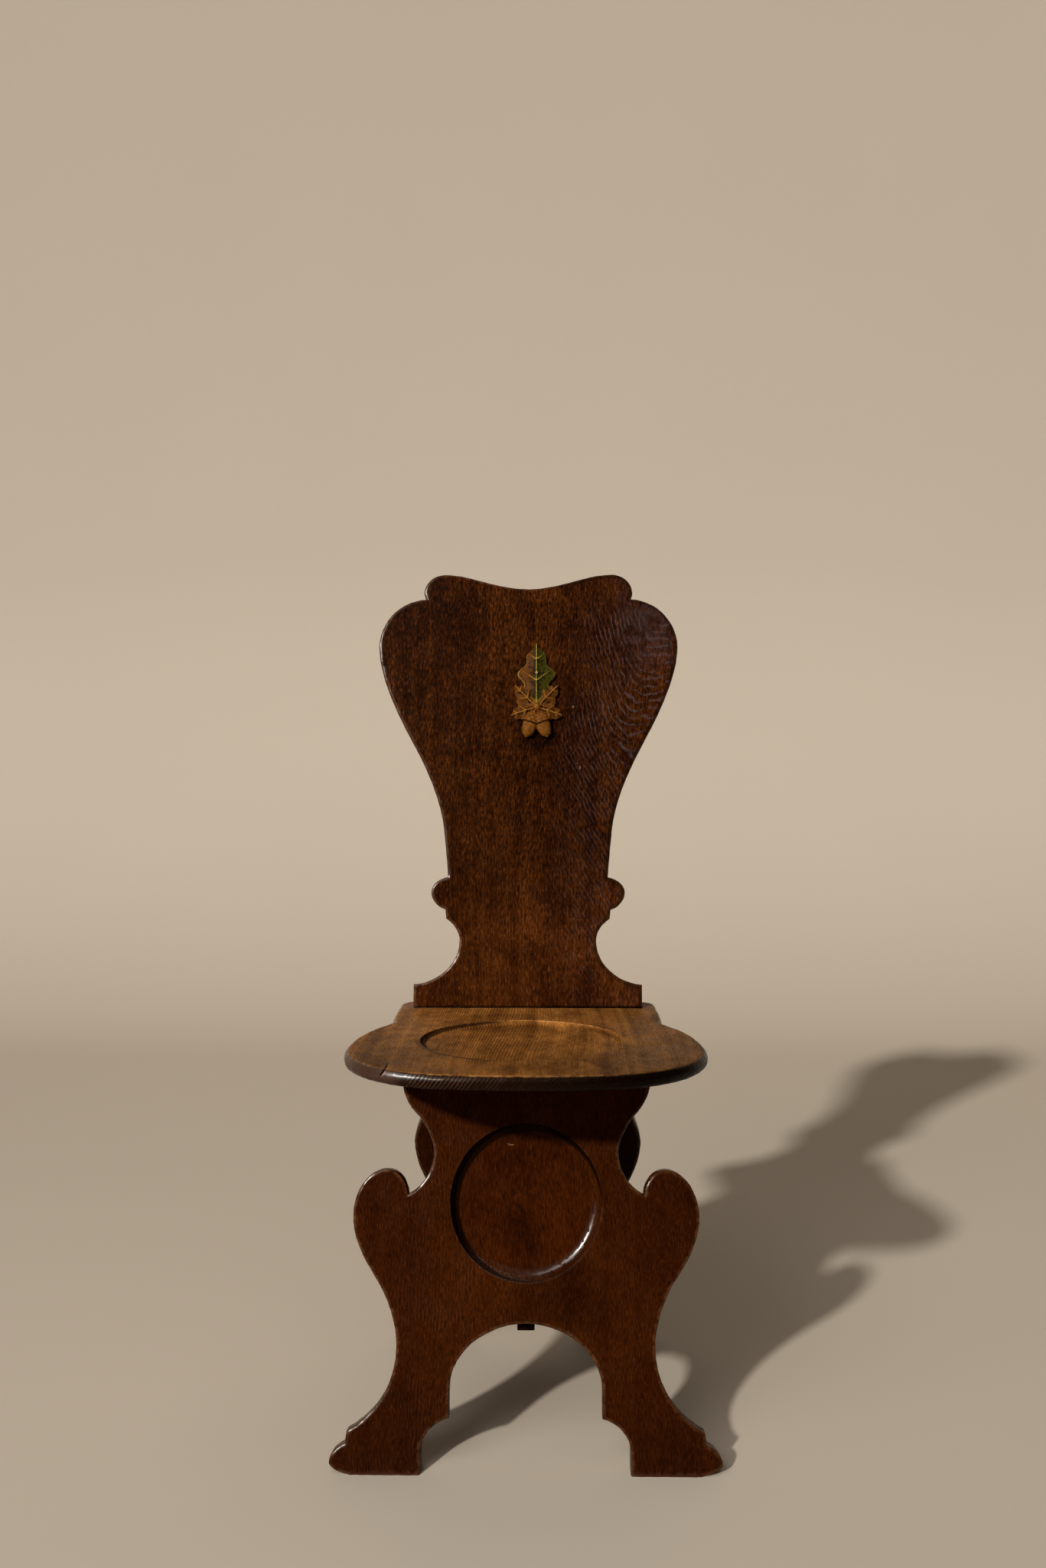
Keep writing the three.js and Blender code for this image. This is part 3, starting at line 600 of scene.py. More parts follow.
class PanelOak(Oak):
    """Oak of the front leg board, with the round panel sunk into it."""

    def hollow_wear_and_shade(self, colour):
        """Painted shadow in the panel's wall, with silvery marks of knocks at its lower left."""
        x, y = self.axes[:2]
        middle, radius = PANEL_CENTRE[1], PANEL_RADIUS
        # The dark crescent is a painted shadow, where the wall shades the hollow from the light.
        away, dark = self.crescent(PANEL_CENTRE, radius, 10 * MM, (0.45, -0.4), 0.45)
        specks = self.patch(760, 3, 0.7).fade(0.46, 0.7, 0, 0.46)
        specks = specks.most(away.fade(radius - 2.4 * MM, radius - 1.2 * MM, 0, 0.13))
        scuff = abs(away - (radius - 2.5 * MM)).fade(4.2 * MM, 2 * MM) * specks
        scuff *= y.fade(middle - 0.035, middle - 0.062) * x.fade(0.03, -0.02)
        inside = away.fade(radius - 4 * MM, radius - 16 * MM)
        colour = self.tint(colour, self.mix(inside, PLAIN, HOLLOW_RED))
        colour = self.lay(colour, "scuff", scuff)
        return self.lay(colour, "pore_and_shade", dark * (1 - scuff) * 0.9)

    def polish(self):
        """The hollow's lower right side is the most handled."""
        x, y = self.axes[:2]
        lower = (x - PANEL_CENTRE[0]) * 0.6 - (y - PANEL_CENTRE[1]) * 1.3
        wall = abs(self.from_point(*PANEL_CENTRE) - (PANEL_RADIUS - 5 * MM)).fade(8 * MM, 5.5 * MM)
        return super().polish().most(wall * lower.fade(0.035, 0.078))


class BackOak(Oak):
    """Oak of the back board, with the silvery figure in its right shoulder, partly grain and partly a painted
    sheen.
    """

    fibre_size, fibre_depth = 560, 0.5
    fleck_size, fleck_length, fleck_depth = 480, 0.27, 0.74
    contrast = (0.8, 1.35)
    mottle = 0.1
    tone_range = (0.4, 0.86)
    silk_amount, pore_amount = 0.5, 0.8

    def shoulder_lines(self):
        """Up the right side the rings turn over to the right edge, as they do below a branch."""
        x, y = self.axes[:2]
        rise = y - BRANCH_HEIGHT
        turn = x - abs(rise) * 0.3
        t = turn.fade(TURN_START, TURN_END, kind="LINEAR")
        bend = t - t * t * 0.5
        phase = rise * 40 + rise.most(0) * 55 + (turn.math("MINIMUM", TURN_START) * 170 + bend * 8.5)
        phase -= (turn - TURN_END).most(0) * 14
        for scale, shake in ((30, 1.1), (56, 1.25), (180, 0.3)):
            phase += self.patch(scale, 1) * shake
        return phase.wave(1).fade(0.35, 1)

    def figure(self, colour):
        x, y = self.axes[:2]
        shoulder = self.shoulder_lines() * (x - y.fade(0.3, 0.45, 0, 0.03)).fade(0.012, 0.09)
        shoulder *= y.fade(0.12, 0.38, 0.48, 1) * y.fade(0.04, 0.11, 0.35, 1)
        shoulder *= y.fade(0.535, 0.505, 0.15, 1)
        shoulder *= self.broken * self.flecks.fade(0.35, 0.6, 0.55, 1)
        # A pale veil over the top of the right shoulder: painted sheen.
        veil = x.fade(0.105, 0.15) * y.fade(0.4, 0.49) * self.broken.fade(0.1, 1, 0.1, 0.28)
        left = self.ring_lines(0.06, 4.2 * MM).fade(0.2, 0.95) * self.broken
        left *= self.cloud.fade(0.42, 0.62, 0.015, 0.09)
        return self.figure_and_sheen(colour, shoulder.most(veil).most(left), x.fade(0.05, -0.01))

    # Colour of the painted glints in the short streaks: rubbed wood at the left, silk at the right.
    def glint(self):
        return self.mix(self.axes[0].fade(-0.02, 0.07), self.hue("rubbed"), self.hue("silk"))

    def lightness(self):
        """The board is paler at its foot and darker in its middle; a painted shadow darkens its face under the
        carving, and painted shade its arrises at the right.
        """
        x, y, z = self.axes
        # Painted shadow under the carving: the face darkens round a point below it, but the back of the board
        # stays clear.
        middle = (CREST_OFFSET + 5 * MM, (CREST_HEIGHT - 26 * MM) * 0.75, 0)
        waxed = self.vector("DISTANCE", self.join(x, y * 0.75), middle).fade(0.016, 0.034, 0.35, 1)
        light = y.fade(0.07, 0.2, 1.25, 0.72) * y.fade(0.25, 0.5, 0.95, 1.1)
        light *= waxed.most(z.fade(-6 * MM, -10 * MM))
        # Painted shade on the arrises, strongest at the right.
        return light * (1 - self.wear.fade(0.45, 0.9) * x.fade(0, 0.06, 0.1, 0.6))

    def polish(self):
        return super().polish() * self.axes[0].fade(0.05, -0.05, 0.1, 1)


class SeatOak(Oak):
    """Worn golden oak of the seat, with dark end grain round its edge."""

    fibre_size, fibre_depth = 480, 0.12
    fleck_size, fleck_length, fleck_depth = 400, 0.14, 0.24
    mottle = 0
    tone_range = (0.34, 0.92)
    silk_amount, pore_amount, rub_amount = 0.15, 0.3, 0.75
    deep, warm, bare = "seat_deep", "seat_warm", "seat_rubbed"
    reflection, coat_roughness = 0.06, 0.3

    def __init__(self, *place, **settings):
        super().__init__(*place, **settings)
        x, y, z = self.axes
        self.edge = self.from_point(*DISH_CENTRE)
        self.outside = self.edge.fade(NOSE_START, NOSE_END)
        self.nose = z.fade(-0.3 * MM, -1.6 * MM) * self.outside
        self.hatch = (x * 0.8 + z * -0.6 + self.ripple * 0.15).wave(3.4 * MM)

        # An old split runs down the edge at the left, with a pale lip.
        off = x + 0.1385 - z * 0.67 + self.patch(400, 1).swing(1.6 * MM)
        near = z.fade(-8.5 * MM, -6 * MM) * y.fade(-0.186, -0.192)
        self.crack = abs(off).fade(1.4 * MM, 0.8 * MM) * near
        self.lip = abs(off - 2.1 * MM).fade(1.1 * MM, 0.4 * MM) * near * z.fade(-1.5 * MM, -4 * MM)

    def wood(self):
        end_grain = self.mix(self.tone.fade(0.75, 1.4), self.hue("nose"), self.hue("board_warm"))
        return self.mix(self.nose, super().wood(), end_grain)

    def figure(self, colour):
        """Brown strokes on the top, pale hatching on the edge, and greyish rear corners, a painted reflection.
        """
        x, y = self.axes[:2]
        strokes = self.ring_lines(0.035, 3 * MM).fade(-0.3, 0.7) * (1 - self.nose)
        strokes *= self.broken.fade(0.1, 1, 0.6, 1)
        strokes *= x.fade(0.04, -0.04, 0.5, 1) * y.fade(-0.21, -0.14, 0.25, 1)
        colour = self.mix(strokes, colour, self.tint(colour, STROKE_BROWN))
        hatch = self.hatch.fade(0.3, 0.9) * self.nose * self.broken
        hatch *= x.fade(0.02, -0.1, 0.06, 0.6) * x.fade(-0.152, -0.136)
        # Painted reflection: the rear corners are greyed as if they mirrored the pale backdrop.
        rear = abs(x).fade(0.118, 0.135) * y.fade(0.11, 0.14) * 0.5
        left = self.nose * x.fade(-0.116, -0.138, 0, 0.62)
        return self.figure_and_sheen(colour, rear.most(left).most(hatch), self.nose)

    def rubbed(self):
        """Only the top's arris is rubbed, and least at the left and the front."""
        x, y, z = self.axes
        rubbed = super().rubbed() * z.fade(-2.2 * MM, -0.8 * MM, 0.02, 1)
        rubbed *= x.fade(-0.125, -0.095, 0.3, 1) * x.fade(0.05, 0.11, 1, 0.4)
        return rubbed * self.edge.fade(0.118, 0.126).most(y.fade(-0.08, -0.03))

    def rub(self, colour):
        colour = super().rub(colour)
        return self.lay(self.lay(colour, "chip", self.lip * 0.8), "pore_and_shade", self.crack)

    def hollow_wear_and_shade(self, colour):
        """Painted shade in the dish: a dark crescent inside the rim at the left, a dark line just outside the
        rim at the front left, where the rim casts no shadow, and a fainter line inside it at the right.
        """
        x, y = self.axes[:2]
        middle, radius = DISH_CENTRE[1], DISH_RADIUS
        away, dark = self.crescent(DISH_CENTRE, radius, 5 * MM, (0.75, 0.6), 0.5)
        front = abs(away - (radius + 2.5 * MM)).fade(4.2 * MM, 2.8 * MM)
        front *= y.fade(middle + 0.02, middle - 0.02) * x.fade(0, -0.05)
        front *= self.patchy.fade(0.35, 0.6, 0.45, 0.8)
        right = abs(away - (radius - 3.5 * MM)).fade(3.2 * MM, 1.2 * MM) * x.fade(0.03, 0.09, 0, 0.5)
        dark = (dark * x.fade(0.015, -0.055)).most(front).most(right)
        return self.lay(colour, "pore_and_shade", dark * 0.78)

    def lightness(self):
        """The top is darker at the front and both sides, and the edge at its right."""
        x, y = self.axes[:2]
        light = y.fade(-0.155, -0.03, 0.76, 1.28) * (x + 0.025).fade(0.08, 0.155, 1, 0.66)
        light *= x.fade(-0.1, -0.16, 1, 0.86)
        return light * (1 - self.nose * x.fade(-0.03, 0.09, 0, 0.5))

    def satin(self):
        return super().satin() + self.nose.fade(0, 1, 0.25, 0)

    def polish(self):
        """The edge shines at its left end between the cut lines, and in glints along the arris."""
        x, _, z = self.axes
        cut = (self.hatch * -1).fade(-0.3, 0.5) * x.fade(-0.118, -0.104, 0.1, 1) * 0.85
        shine = self.nose * z.fade(-12 * MM, -6 * MM) * (1 - self.crack.most(cut))
        shine *= x.fade(-0.088, -0.118, 0.07, 1) * x.fade(-0.162, -0.145, 0.2, 1)
        glints = abs(z + 1.3 * MM).fade(1.1 * MM, 0.4 * MM) * self.outside
        glints *= self.patch(260).fade(0.5, 0.6) * x.fade(-0.05, -0.1)
        return shine.most(glints)

    def relief(self):
        """The wax has run thick beside the split, so the shine sits further round to the left."""
        thick = self.axes[0].fade(-0.152, -0.106, 1, 0)
        self.surface("Coat Normal", self.bump(thick, 10 * MM, super().relief()))


def plain_oak(name):
    """Unpolished oak of the hidden blocks and wedges."""
    f = Finish(name)
    place = f.place()
    x, y, z = f.split(place)
    fibres = f.noise(f.join(x, y * 0.05, z), 700, 3, 0.6)
    blotch = f.noise(place, 28, 3).fade(0.3, 0.7)
    raw = f.mix(blotch, f.hue("raw_dark"), f.hue("raw_pale"))
    f.surface("Base Color", f.lay(raw, "pore_and_shade", fibres.fade(0.55, 0.75)))
    f.surface("Roughness", fibres.fade(0.3, 0.7, 0.62, 0.85))
    f.surface("Normal", f.bump(fibres, 0.2 * MM))
    return f.material


def metal(name, bright, dull, roughness):
    """Dulled metal, rougher where it is tarnished."""
    f = Finish(name)
    tarnish = f.noise(f.place(), 420, 4, 0.65)
    f.surface("Base Color", f.mix(tarnish.fade(0.35, 0.7), f.hue(bright), f.hue(dull)))
    f.surface("Metallic", 1)
    f.surface("Roughness", tarnish.fade(0.3, 0.7, roughness, roughness + 0.3))
    f.surface("Normal", f.bump(tarnish, 0.08 * MM))
    return f.material


def paint(name, body, edge, other=None):
    """Old paint on the carving: painted shade darkens the hollows, and gold and rubbed paint brighten what
    stands up, partly as a painted highlight.
    """
    f = Finish(name)
    place = f.place(BACK_LEAN, BACK_FOOT)
    rise = f.attribute("rise") * 0.8
    speck = f.noise(place, 900, 3, 0.6)
    patch = f.noise(place, 260, 3, 0.6)
    colour = f.hue(body)
    if other:
        # The leaf has turned on its left side.
        side = f.split(place)[0] + f.noise(place, 60).swing(12 * MM)
        colour = f.mix(side.fade(CREST_OFFSET - 5 * MM, CREST_OFFSET - 2 * MM), f.hue(other), colour)
    colour = f.shade(colour, patch.fade(0.35, 0.65, 1, 0.5))
    # Gold and rubbed paint on what stands up, partly a painted highlight.
    colour = f.lay(colour, edge, (rise + speck.swing(0.9)).fade(0.55, 0.85))
    # Painted shade in the carving's hollows.
    colour = f.lay(colour, "pore_and_shade", (rise + patch.swing(0.8)).fade(0.34, 0.1))
    f.surface("Base Color", colour)
    f.surface("Specular IOR Level", 0.05)
    f.surface("Roughness", speck.fade(0.3, 0.7, 0.42, 0.62))
    f.surface("Normal", f.bump(speck + patch, 0.25 * MM))
    return f.material


# ------ settings


def number_prop(name, description, default, **limits):
    return bpy.props.FloatProperty(name=name, description=description, default=default, **limits)


def size_prop(name, description, default, low=0.0):
    return number_prop(name, description, default, min=low, unit="LENGTH", precision=4)


def colour_prop(name, description, default):
    return bpy.props.FloatVectorProperty(
        name=name, description=description, default=default, min=0, max=1, size=3, subtype="COLOR"
    )


class HallChairBoards(bpy.types.PropertyGroup):
    mesh_step: size_prop("Mesh step", "Width of the squares that a board's surface is cut into", 6 * MM, MM)
    arris_reach: size_prop("Arris reach", "How far from an edge the rubbing shows", 7 * MM)
    plane_size: size_prop("Plane mark size", "Width of the slow waves that a hand plane leaves", 55 * MM)
    plane_depth: size_prop("Plane mark depth", "Depth of the plane's waves", 0.5 * MM)
    rub_size: size_prop("Dent size", "Length of the dents along the edges", 9 * MM)
    rub_depth: size_prop("Dent depth", "Depth of the dents along the edges", 0.6 * MM)


class HallChairColours(bpy.types.PropertyGroup):
    board_deep: colour_prop("Board, deep", "Dark parts of the waxed boards", (0.019, 0.0040, 0.0006))
    board_warm: colour_prop("Board, warm", "Light parts of the waxed boards", (0.066, 0.0172, 0.0026))
    seat_deep: colour_prop("Seat, deep", "Dark parts of the seat", (0.085, 0.030, 0.006))
    seat_warm: colour_prop("Seat, warm", "Worn golden parts of the seat", (0.36, 0.145, 0.031))
    # The dry figure colour also paints the sheen on the back's shoulder and the reflection on the seat's rear
    # corners.
    figure_and_sheen: colour_prop("Dry figure", "Silvery lines of the grain's figure", (0.095, 0.060, 0.062))
    # The silk colour also paints glints in the short streaks.
    silk: colour_prop("Silk", "Short pale streaks where the wax is worn thin", (0.13, 0.060, 0.040))
    nose: colour_prop("Seat edge", "Dark end grain round the seat's edge", (0.0085, 0.0028, 0.0009))
    # This colour also paints the shade in the sunk panel, the dish and the carving's hollows.
    pore_and_shade: colour_prop("Pores and grime", "Dark pores, and old wax in the corners", (0.006, 0.0018, 0.0007))
    seat_rubbed: colour_prop("Rubbed seat edge", "The seat's arrises, rubbed to bare wood", (0.56, 0.25, 0.070))
    scuff: colour_prop("Scuff", "Silvery knocks round the sunk panel", (0.26, 0.22, 0.20))
    chip: colour_prop("Chip", "Small nicks that show fresh wood", (0.38, 0.21, 0.12))
    rubbed: colour_prop("Rubbed edge", "Edges where the stain is rubbed off", (0.15, 0.055, 0.016))
    raw_dark: colour_prop("Raw oak, dark", "Dark parts of the unpolished blocks", (0.13, 0.070, 0.030))
    raw_pale: colour_prop("Raw oak, pale", "Pale parts of the unpolished blocks", (0.24, 0.15, 0.075))
    leaf_green: colour_prop("Leaf green", "Old green paint of the tall leaf", (0.064, 0.058, 0.0012))
    leaf_gold: colour_prop("Gold", "Worn gold on what stands up", (0.42, 0.31, 0.07))
    ochre: colour_prop("Ochre", "Brown ochre paint of the carving", (0.165, 0.056, 0.0065))
    ochre_pale: colour_prop("Ochre, pale", "Rubbed ochre paint", (0.34, 0.150, 0.026))
    steel: colour_prop("Steel", "Screws", (0.32, 0.28, 0.25))
    steel_dull: colour_prop("Steel, dull", "Rust on the screws", (0.10, 0.055, 0.035))
    brass: colour_prop("Brass", "Crest pins", (0.50, 0.33, 0.12))
    brass_dull: colour_prop("Brass, dull", "Tarnish on the pins", (0.12, 0.075, 0.030))


class HallChairCrest(bpy.types.PropertyGroup):
    leaf_length: size_prop("Leaf length", "Length of the tall leaf", 87 * MM)
    leaf_width: size_prop("Leaf width", "Width of the tall leaf", 48 * MM)
    side_leaf_length: size_prop("Side leaf length", "Length of the two side leaves", 35.5 * MM)
    side_leaf_width: size_prop("Side leaf width", "Width of the two side leaves", 27 * MM)
    side_turn: number_prop("Side leaf turn", "Degrees from upright to a side leaf", 108)
    upper_turn: number_prop("Upper side leaf turn", "Degrees from upright to an upper side leaf", 44)
    acorn_length: size_prop("Acorn length", "Length of an acorn with its cup", 36 * MM)
    acorn_width: size_prop("Acorn width", "Width of an acorn's cup", 22 * MM)
    acorn_turn: number_prop("Acorn turn", "Degrees from upright to an acorn", 160)
    boss_radius: size_prop("Boss radius", "Radius of the knot in the middle", 11 * MM)
    thickness: size_prop("Relief", "How far the carving stands off the board", 10 * MM)
    pin_height: size_prop("Pin height", "Place of the upper pin up the tall leaf", 46 * MM)
    pin_seat: size_prop("Pin seat", "Height of the flat that the upper pin's head lies on", 9 * MM)
    cell: size_prop("Carving detail", "Width of the squares that a leaf is carved from", 0.8 * MM, 0.2 * MM)
    lobes: bpy.props.IntProperty(
        name="Lobes", description="Number of lobes down each side of a leaf", default=3, min=2
    )
    lobe_depth: number_prop("Lobe depth", "How deep the leaf is cut between lobes", 0.17, min=0, max=0.4)


class HallChairStage(bpy.types.PropertyGroup):
    floor_colour: colour_prop("Floor", "Pale floor and backdrop", (0.54, 0.47, 0.39))
    key_strength: number_prop("Key light", "Strength of the main light", 3.1, min=0)
    side_strength: number_prop("Side light", "Power of the soft light at the left", 16.0, min=0)
    top_strength: number_prop("Top light", "Power of the wide light overhead", 4.5, min=0)
    fill_strength: number_prop("Fill", "Strength of the light from all round", 0.035, min=0)
    camera_height: size_prop("Camera height", "Height of the lens above the floor", 0.722)
    lens: number_prop("Lens", "Focal length on a 36 mm frame", 43.8, min=10, unit="CAMERA")


# ------ pieces


class HALLCHAIR_OT_stage(bpy.types.Operator):
    """Lays the pale floor and backdrop, sets the lights and stands the camera"""

    bl_idname = "hall_chair.stage"
    bl_label = "Stage, lights and camera"

    def execute(self, context):
        stage = context.scene.hall_chair_stage
        self.floor(stage)

        sun_colour, travel = (1.0, 0.955, 0.88), (1.15, 1.74, -1.0)
        sun = self.lamp("key", "SUN", stage.key_strength, sun_colour, travel, (0, 0, 0), 3)
        sun.angle = radians(2.8)
        for name, power, colour, travel, aim, width in (
            ("top", stage.top_strength, (1.0, 0.975, 0.94), (-0.12, 0.12, -1), (0.1, -0.25, 0.4), 1.6),
            ("side", stage.side_strength, (1.0, 0.96, 0.92), (0.42, 0.60, -0.68), (0, -0.1, 0.42), 1.4),
        ):
            soft = self.lamp(name, "AREA", power, colour, travel, aim, 2.2)
            soft.shape = "DISK"
            soft.size = width

        world = bpy.data.worlds.new("studio_air")
        context.scene.world = world
        world.use_nodes = True
        air = world.node_tree.nodes["Background"]
        air.inputs["Color"].default_value = (1.0, 0.975, 0.94, 1)
        air.inputs["Strength"].default_value = stage.fill_strength

        bpy.ops.object.camera_add(location=(0.0138, -1.4729, stage.camera_height))
        camera = context.object
        camera.name = "camera"
        camera.rotation_euler = Vector((-0.0123, 1, 0)).to_track_quat("-Z", "Y").to_euler()
        camera.data.sensor_fit = "HORIZONTAL"
        camera.data.sensor_width = 36
        camera.data.lens = stage.lens
        context.scene.camera = camera
        context.scene.view_settings.view_transform = "Standard"
        context.scene.view_settings.look = "None"
        return {"FINISHED"}

    def floor(self, stage, width=16, depth=9, height=7, cove=1.6):
        """A floor that turns up into a backdrop through a wide round cove."""
        take()
        bpy.ops.mesh.primitive_plane_add(size=1, location=(0, 0, 0))
        floor = bpy.context.object
        floor.name = "studio_floor"
        edit(floor)
        bpy.ops.transform.resize(value=(width, depth, 1))
        bpy.ops.transform.translate(value=(0, -1.0, 0))
        choose_edges(floor, lambda e: all(v.co.y > 1 for v in e.verts))
        bpy.ops.mesh.extrude_region_move(TRANSFORM_OT_translate={"value": (0, 0, height)})
        choose_edges(floor, lambda e: all(v.co.y > 1 and v.co.z < 0.1 for v in e.verts))
        bpy.ops.mesh.bevel(offset=cove, segments=24, affect="EDGES")
        leave()
        outward(floor)
        edit(floor)
        bpy.ops.mesh.flip_normals()
        leave()
        smooth(floor, 60)
        f = Finish("studio_paper")
        tone = f.noise(f.place(), 1.4, 3.0).fade(0.3, 0.7, 0.995, 1.005)
        f.surface("Base Color", f.shade((*stage.floor_colour, 1), tone))
        f.surface("Roughness", 0.85)
        f.surface("Specular IOR Level", 0.12)
        floor.data.materials.append(f.material)

    def lamp(self, name, kind, power, colour, travel, aim, distance):
        """A lamp whose light travels one way, and that stands so far before the place it aims at."""
        data = bpy.data.lights.new(name, kind)
        data.energy = power
        data.color = colour
        lamp = bpy.data.objects.new(name, data)
        travel = Vector(travel).normalized()
        lamp.location = Vector(aim) - travel * distance
        lamp.rotation_euler = travel.to_track_quat("-Z", "Y").to_euler()
        bpy.context.scene.collection.objects.link(lamp)
        return data


class HALLCHAIR_OT_seat(bpy.types.Operator):
    """Makes the dished seat board with its rubbed nose"""

    bl_idname = "hall_chair.seat"
    bl_label = "Seat board"

    def execute(self, context):
        wood = SeatOak("seat_wood", None, SEAT_FOOT, seed=3.1).finish(SEAT_STAINS, SEAT_NICKS)
        worn_board("seat_board_worn", "seat_board", None, wood, "seat_oak")
        return {"FINISHED"}


class HALLCHAIR_OT_back(bpy.types.Operator):
    """Makes the waisted back board"""

    bl_idname = "hall_chair.back"
    bl_label = "Back board"

    def execute(self, context):
        wood = BackOak("back_wood", BACK_LEAN, BACK_FOOT, seed=1.7)
        wood = wood.finish(nicks=BACK_NICKS, joint=4 * MM)
        worn_board("back_board_worn", "back_board", BACK_LEAN, wood, "dark_oak")
        return {"FINISHED"}


class HALLCHAIR_OT_legs(bpy.types.Operator):
    """Makes the two raked leg boards"""

    bl_idname = "hall_chair.legs"
    bl_label = "Leg boards"

    def execute(self, context):
        wood = PanelOak("front_leg_wood", LEG_RAKE, FRONT_LEG_FOOT, seed=5.3, light=0.81)
        wood = wood.finish(FRONT_LEG_STAINS, FRONT_LEG_NICKS, dark_foot_height=0.13)
        worn_board("front_leg_worn", "front_leg_board", LEG_RAKE, wood, "dark_oak")
        # The rear leg is a darker copy of the oak: painted shade behind the front board and under the seat.
        wood = Oak("rear_leg_wood", -LEG_RAKE, REAR_LEG_FOOT, seed=8.9, light=0.46)
        wood = wood.finish(dark_foot_height=0.1)
        worn_board("rear_leg_worn", "rear_leg_board", -LEG_RAKE, wood, "dark_oak")
        return {"FINISHED"}


class HALLCHAIR_OT_under(bpy.types.Operator):
    """Finishes what the seat hides: the stretcher, blocks, wedges and screws"""

    bl_idname = "hall_chair.under"
    bl_label = "Stretcher, blocks, wedges and screws"

    def execute(self, context):
        raw = plain_oak("raw_oak_wood")
        steel = metal("screw_steel", "steel", "steel_dull", 0.35)
        # The stretcher is a darker copy of the oak, painted shade under the seat, darkest at its front end.
        dark = Oak("stretcher_wood", seed=12.0, light=0.6).finish(STRETCHER_END_SHADE)
        finishes = {"glue_block": raw, "back_wedge": raw, "screw": steel, "centre_stretcher": dark}
        for name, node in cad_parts.items():
            for start, finish in finishes.items():
                if name.startswith(start):
                    coat(node, finish)
        return {"FINISHED"}


class HALLCHAIR_OT_crest(bpy.types.Operator):
    """Carves the oak spray on the back board, with its two brass pins"""

    bl_idname = "hall_chair.crest"
    bl_label = "Carved crest"

    def execute(self, context):
        crest = context.scene.hall_chair_crest
        green = paint("crest_green", "leaf_green", "leaf_gold", "ochre")
        ochre = paint("crest_ochre", "ochre", "ochre_pale")
        tall = self.leaf("leaf", crest.leaf_length, crest.leaf_width, 0, crest, green)
        length, width = crest.side_leaf_length, crest.side_leaf_width
        parts = []
        for side, name in ((-1, "left"), (1, "right")):
            low, high = side * crest.side_turn, side * crest.upper_turn
            parts += [
                self.leaf("leaf_" + name, length, width, low, crest, ochre),
                self.leaf("leaf_up_" + name, length * 1.15, width, high, crest, ochre),
                self.acorn("acorn_" + name, side * crest.acorn_turn, crest, ochre),
            ]
        parts.append(self.boss(crest, ochre))
        take(*parts, tall)
        bpy.ops.object.join()
        tall.name = "oak_spray"
        x, up, out = board_axes(BACK_LEAN)
        foot = Vector(BACK_FOOT) + x * CREST_OFFSET + up * CREST_HEIGHT + out * (0.3 * MM)
        tall.matrix_world = Matrix((x, up, out)).transposed().to_4x4()
        tall.matrix_world.translation = foot
        settle(tall)
        smooth(tall, 55)
        dress(tall, "painted_carving", "crest_carving")
        brass = metal("crest_brass", "brass", "brass_dull", 0.3)
        for name in ("crest_pin_upper", "crest_pin_lower"):
            coat(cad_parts[name], brass)
        return {"FINISHED"}

    def leaf(self, name, length, width, turn, crest, finish):
        """An oak leaf: a fine grid drawn out to a lobed outline, domed, with ribs standing up."""
        rows, columns = int(length / crest.cell), int(width / crest.cell)
        bpy.ops.mesh.primitive_grid_add(x_subdivisions=columns, y_subdivisions=rows, size=2)

        def shape(a, b, c):
            # The outline: a is the place from edge to edge and t the place up the leaf.
            t = (b + 1) / 2
            swell = sin(pi * t**0.85)
            beat = (1 + cos(2 * pi * crest.lobes * t)) / 2
            half = (width / 2) * (swell * (1 - 2 * crest.lobe_depth * beat) + 0.08 * (1 - t))
            sweep = 0.05 * abs(a) ** 1.5 * swell * length
            x, y = a * half, length * t + sweep * (1 - t)

            # The relief: a dome, a rib up the middle and one to each lobe, and a raised rim.
            dome = sqrt(max(0.0, 1 - (a * 0.93) ** 2)) * (0.35 + 0.65 * swell)
            mid = exp(-((x / (1.2 * MM)) ** 2))
            rib = 0.0
            for k in range(crest.lobes):
                root = (k + 0.22) / crest.lobes * length
                slant = y - root - abs(x) * 0.75
                rib = max(rib, exp(-((slant / (1.5 * MM)) ** 2)) * (1 - 0.5 * abs(a)))
            rim = max(0.0, (abs(a) - 0.86) / 0.14)
            ribs = 1.3 * mid + 1.5 * rib * swell - 0.9 * (1 - rib) * (1 - mid)
            z = crest.thickness * (0.5 + 0.34 * dome) + MM * ribs + 0.6 * MM * sin(rim * pi)
            z -= 0.9 * MM * beat * abs(a) ** 2 * (1 - mid)

            # A flat for the pin's head.
            pin = hypot(x, y - crest.pin_height)
            if pin < 3.2 * MM:
                z = min(z, crest.pin_seat + max(0.0, pin - 2.0 * MM) * 1.5)
            return x, y, z, min(1.0, max(0.18 + 0.3 * dome * abs(a), mid, 0.2 + 0.8 * rib, rim))

        return self.carve(name, shape, turn, finish)

    def acorn(self, name, turn, crest, finish):
        """An acorn: a ball drawn out along its length, with a scaled cup over its upper part."""
        cup_end, tip_start = 0.46, 0.94
        bpy.ops.mesh.primitive_uv_sphere_add(segments=48, ring_count=36, radius=1)

        def shape(a, b, c):
            t = (1 - c) / 2
            angle = atan2(b, a)
            away = hypot(a, b)
            cup = t < cup_end
            size = 1.0 if cup else 0.86
            lift = 0.0
            if cup:
                row = t * 9
                shift = (int(row) % 2) * pi / 2
                lift = 0.14 * abs(sin(angle * 5 + shift)) * sin(pi * (row % 1))
            if t > tip_start:
                size *= 0.75
            radius = away**0.85 * size * (1 + lift) * crest.acorn_width / 2 if away > 0 else 0
            x, z = radius * cos(angle), radius * sin(angle)
            along = crest.acorn_length * (t + (0.02 if t > 0.985 else 0.0))
            height = z / (crest.acorn_width / 2) * crest.thickness * 0.75 + crest.thickness * 0.5
            rise = 0.28 + (4.5 * lift if cup else 0.42) - (0.5 if 0.42 < t < 0.50 else 0)
            return x, crest.boss_radius / 2 + along, height, rise

        return self.carve(name, shape, turn, finish)

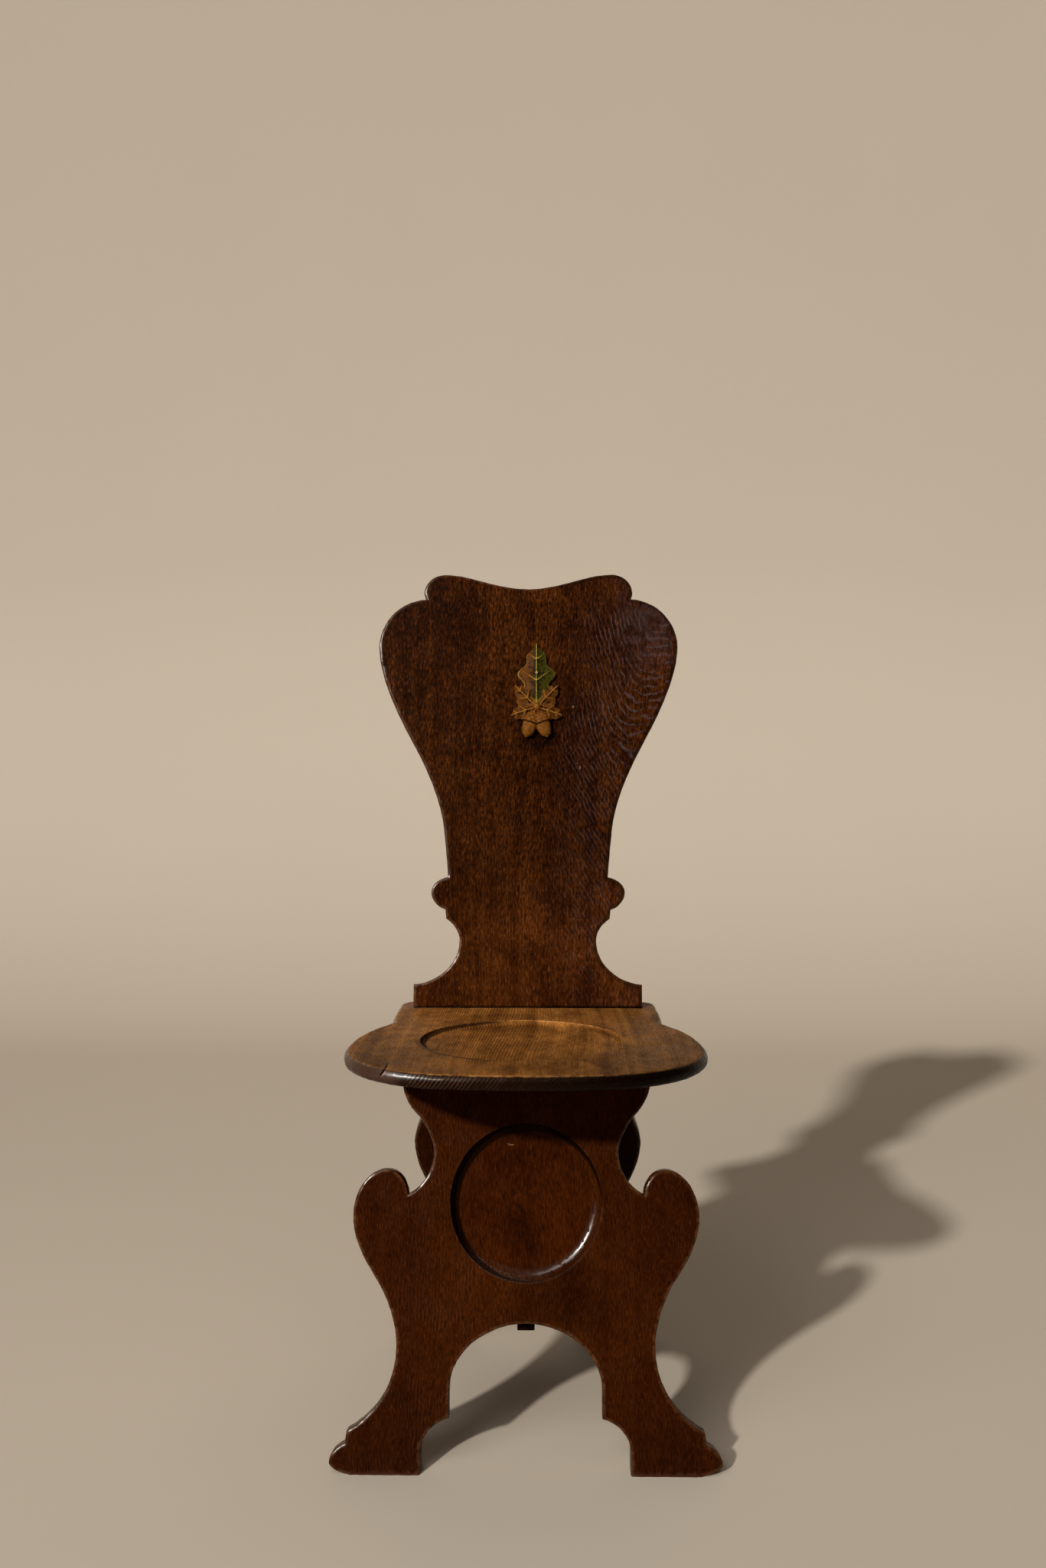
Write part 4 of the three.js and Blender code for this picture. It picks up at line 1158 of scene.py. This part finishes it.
    def boss(self, crest, finish):
        """The knot that the spray grows from: a low dome cut into rounded gadroons."""
        bpy.ops.mesh.primitive_uv_sphere_add(segments=64, ring_count=24, radius=1)

        def shape(a, b, c):
            away = hypot(a, b)
            groove = abs(sin(4 * atan2(b, a))) ** 0.6
            height = c * crest.thickness * 1.25 * (0.72 + 0.28 * groove if away > 0.35 else 1.0)
            rise = 0.25 + 0.5 * groove if away > 0.3 else 0.8
            return a * crest.boss_radius, b * crest.boss_radius, height, rise

        return self.carve("boss", shape, 0, finish)

    def carve(self, name, shape, turn, finish):
        """Shapes the new mesh, closes it down to the board, turns it to its place and paints it.

        The shape gives, for a point of the mesh, its carved place and how far it stands up.
        """
        piece = bpy.context.object
        piece.name = name
        rises = piece.data.attributes.new("rise", "FLOAT", "POINT").data
        for v in piece.data.vertices:
            *v.co, rises[v.index].value = shape(*v.co)
        edit(piece)
        bpy.ops.mesh.remove_doubles(threshold=0.00002)
        if any(e.is_boundary for e in bmesh.from_edit_mesh(piece.data).edges):
            choose_edges(piece, lambda e: e.is_boundary)
            bpy.ops.mesh.extrude_region()
            mesh = bmesh.from_edit_mesh(piece.data)
            for v in mesh.verts:
                if v.select:
                    v.co.z = 0
            bmesh.update_edit_mesh(piece.data)
            bpy.ops.mesh.edge_face_add()
        else:
            bpy.ops.mesh.bisect(plane_co=(0, 0, 0), plane_no=(0, 0, 1), clear_inner=True, use_fill=True)
        leave()
        outward(piece)
        piece.rotation_euler = (0, 0, radians(turn))
        settle(piece)
        piece.data.materials.append(finish)
        return piece


class HALLCHAIR_PT_panel(bpy.types.Panel):
    bl_idname = "HALLCHAIR_PT_panel"
    bl_label = "Oak Hall Chair"
    bl_space_type = "VIEW_3D"
    bl_region_type = "UI"
    bl_category = "Hall Chair"

    def draw(self, context):
        for group in GROUPS:
            settings = getattr(context.scene, group)
            box = self.layout.box()
            for key in settings.__annotations__:
                box.prop(settings, key)
        for operator in OPERATORS:
            self.layout.operator(operator.bl_idname)


GROUPS = {
    "hall_chair_boards": HallChairBoards,
    "hall_chair_crest": HallChairCrest,
    "hall_chair_colours": HallChairColours,
    "hall_chair_stage": HallChairStage,
}
OPERATORS = (
    HALLCHAIR_OT_stage,
    HALLCHAIR_OT_seat,
    HALLCHAIR_OT_back,
    HALLCHAIR_OT_legs,
    HALLCHAIR_OT_under,
    HALLCHAIR_OT_crest,
)
CLASSES = (*GROUPS.values(), *OPERATORS, HALLCHAIR_PT_panel)


def register():
    for item in CLASSES:
        bpy.utils.register_class(item)
    for name, group in GROUPS.items():
        setattr(bpy.types.Scene, name, bpy.props.PointerProperty(type=group))


def unregister():
    for name in GROUPS:
        delattr(bpy.types.Scene, name)
    for item in reversed(CLASSES):
        bpy.utils.unregister_class(item)


def main():
    register()
    bpy.ops.hall_chair.stage()
    bpy.ops.hall_chair.seat()
    bpy.ops.hall_chair.back()
    bpy.ops.hall_chair.legs()
    bpy.ops.hall_chair.under()
    bpy.ops.hall_chair.crest()


if __name__ == "__main__":
    main()
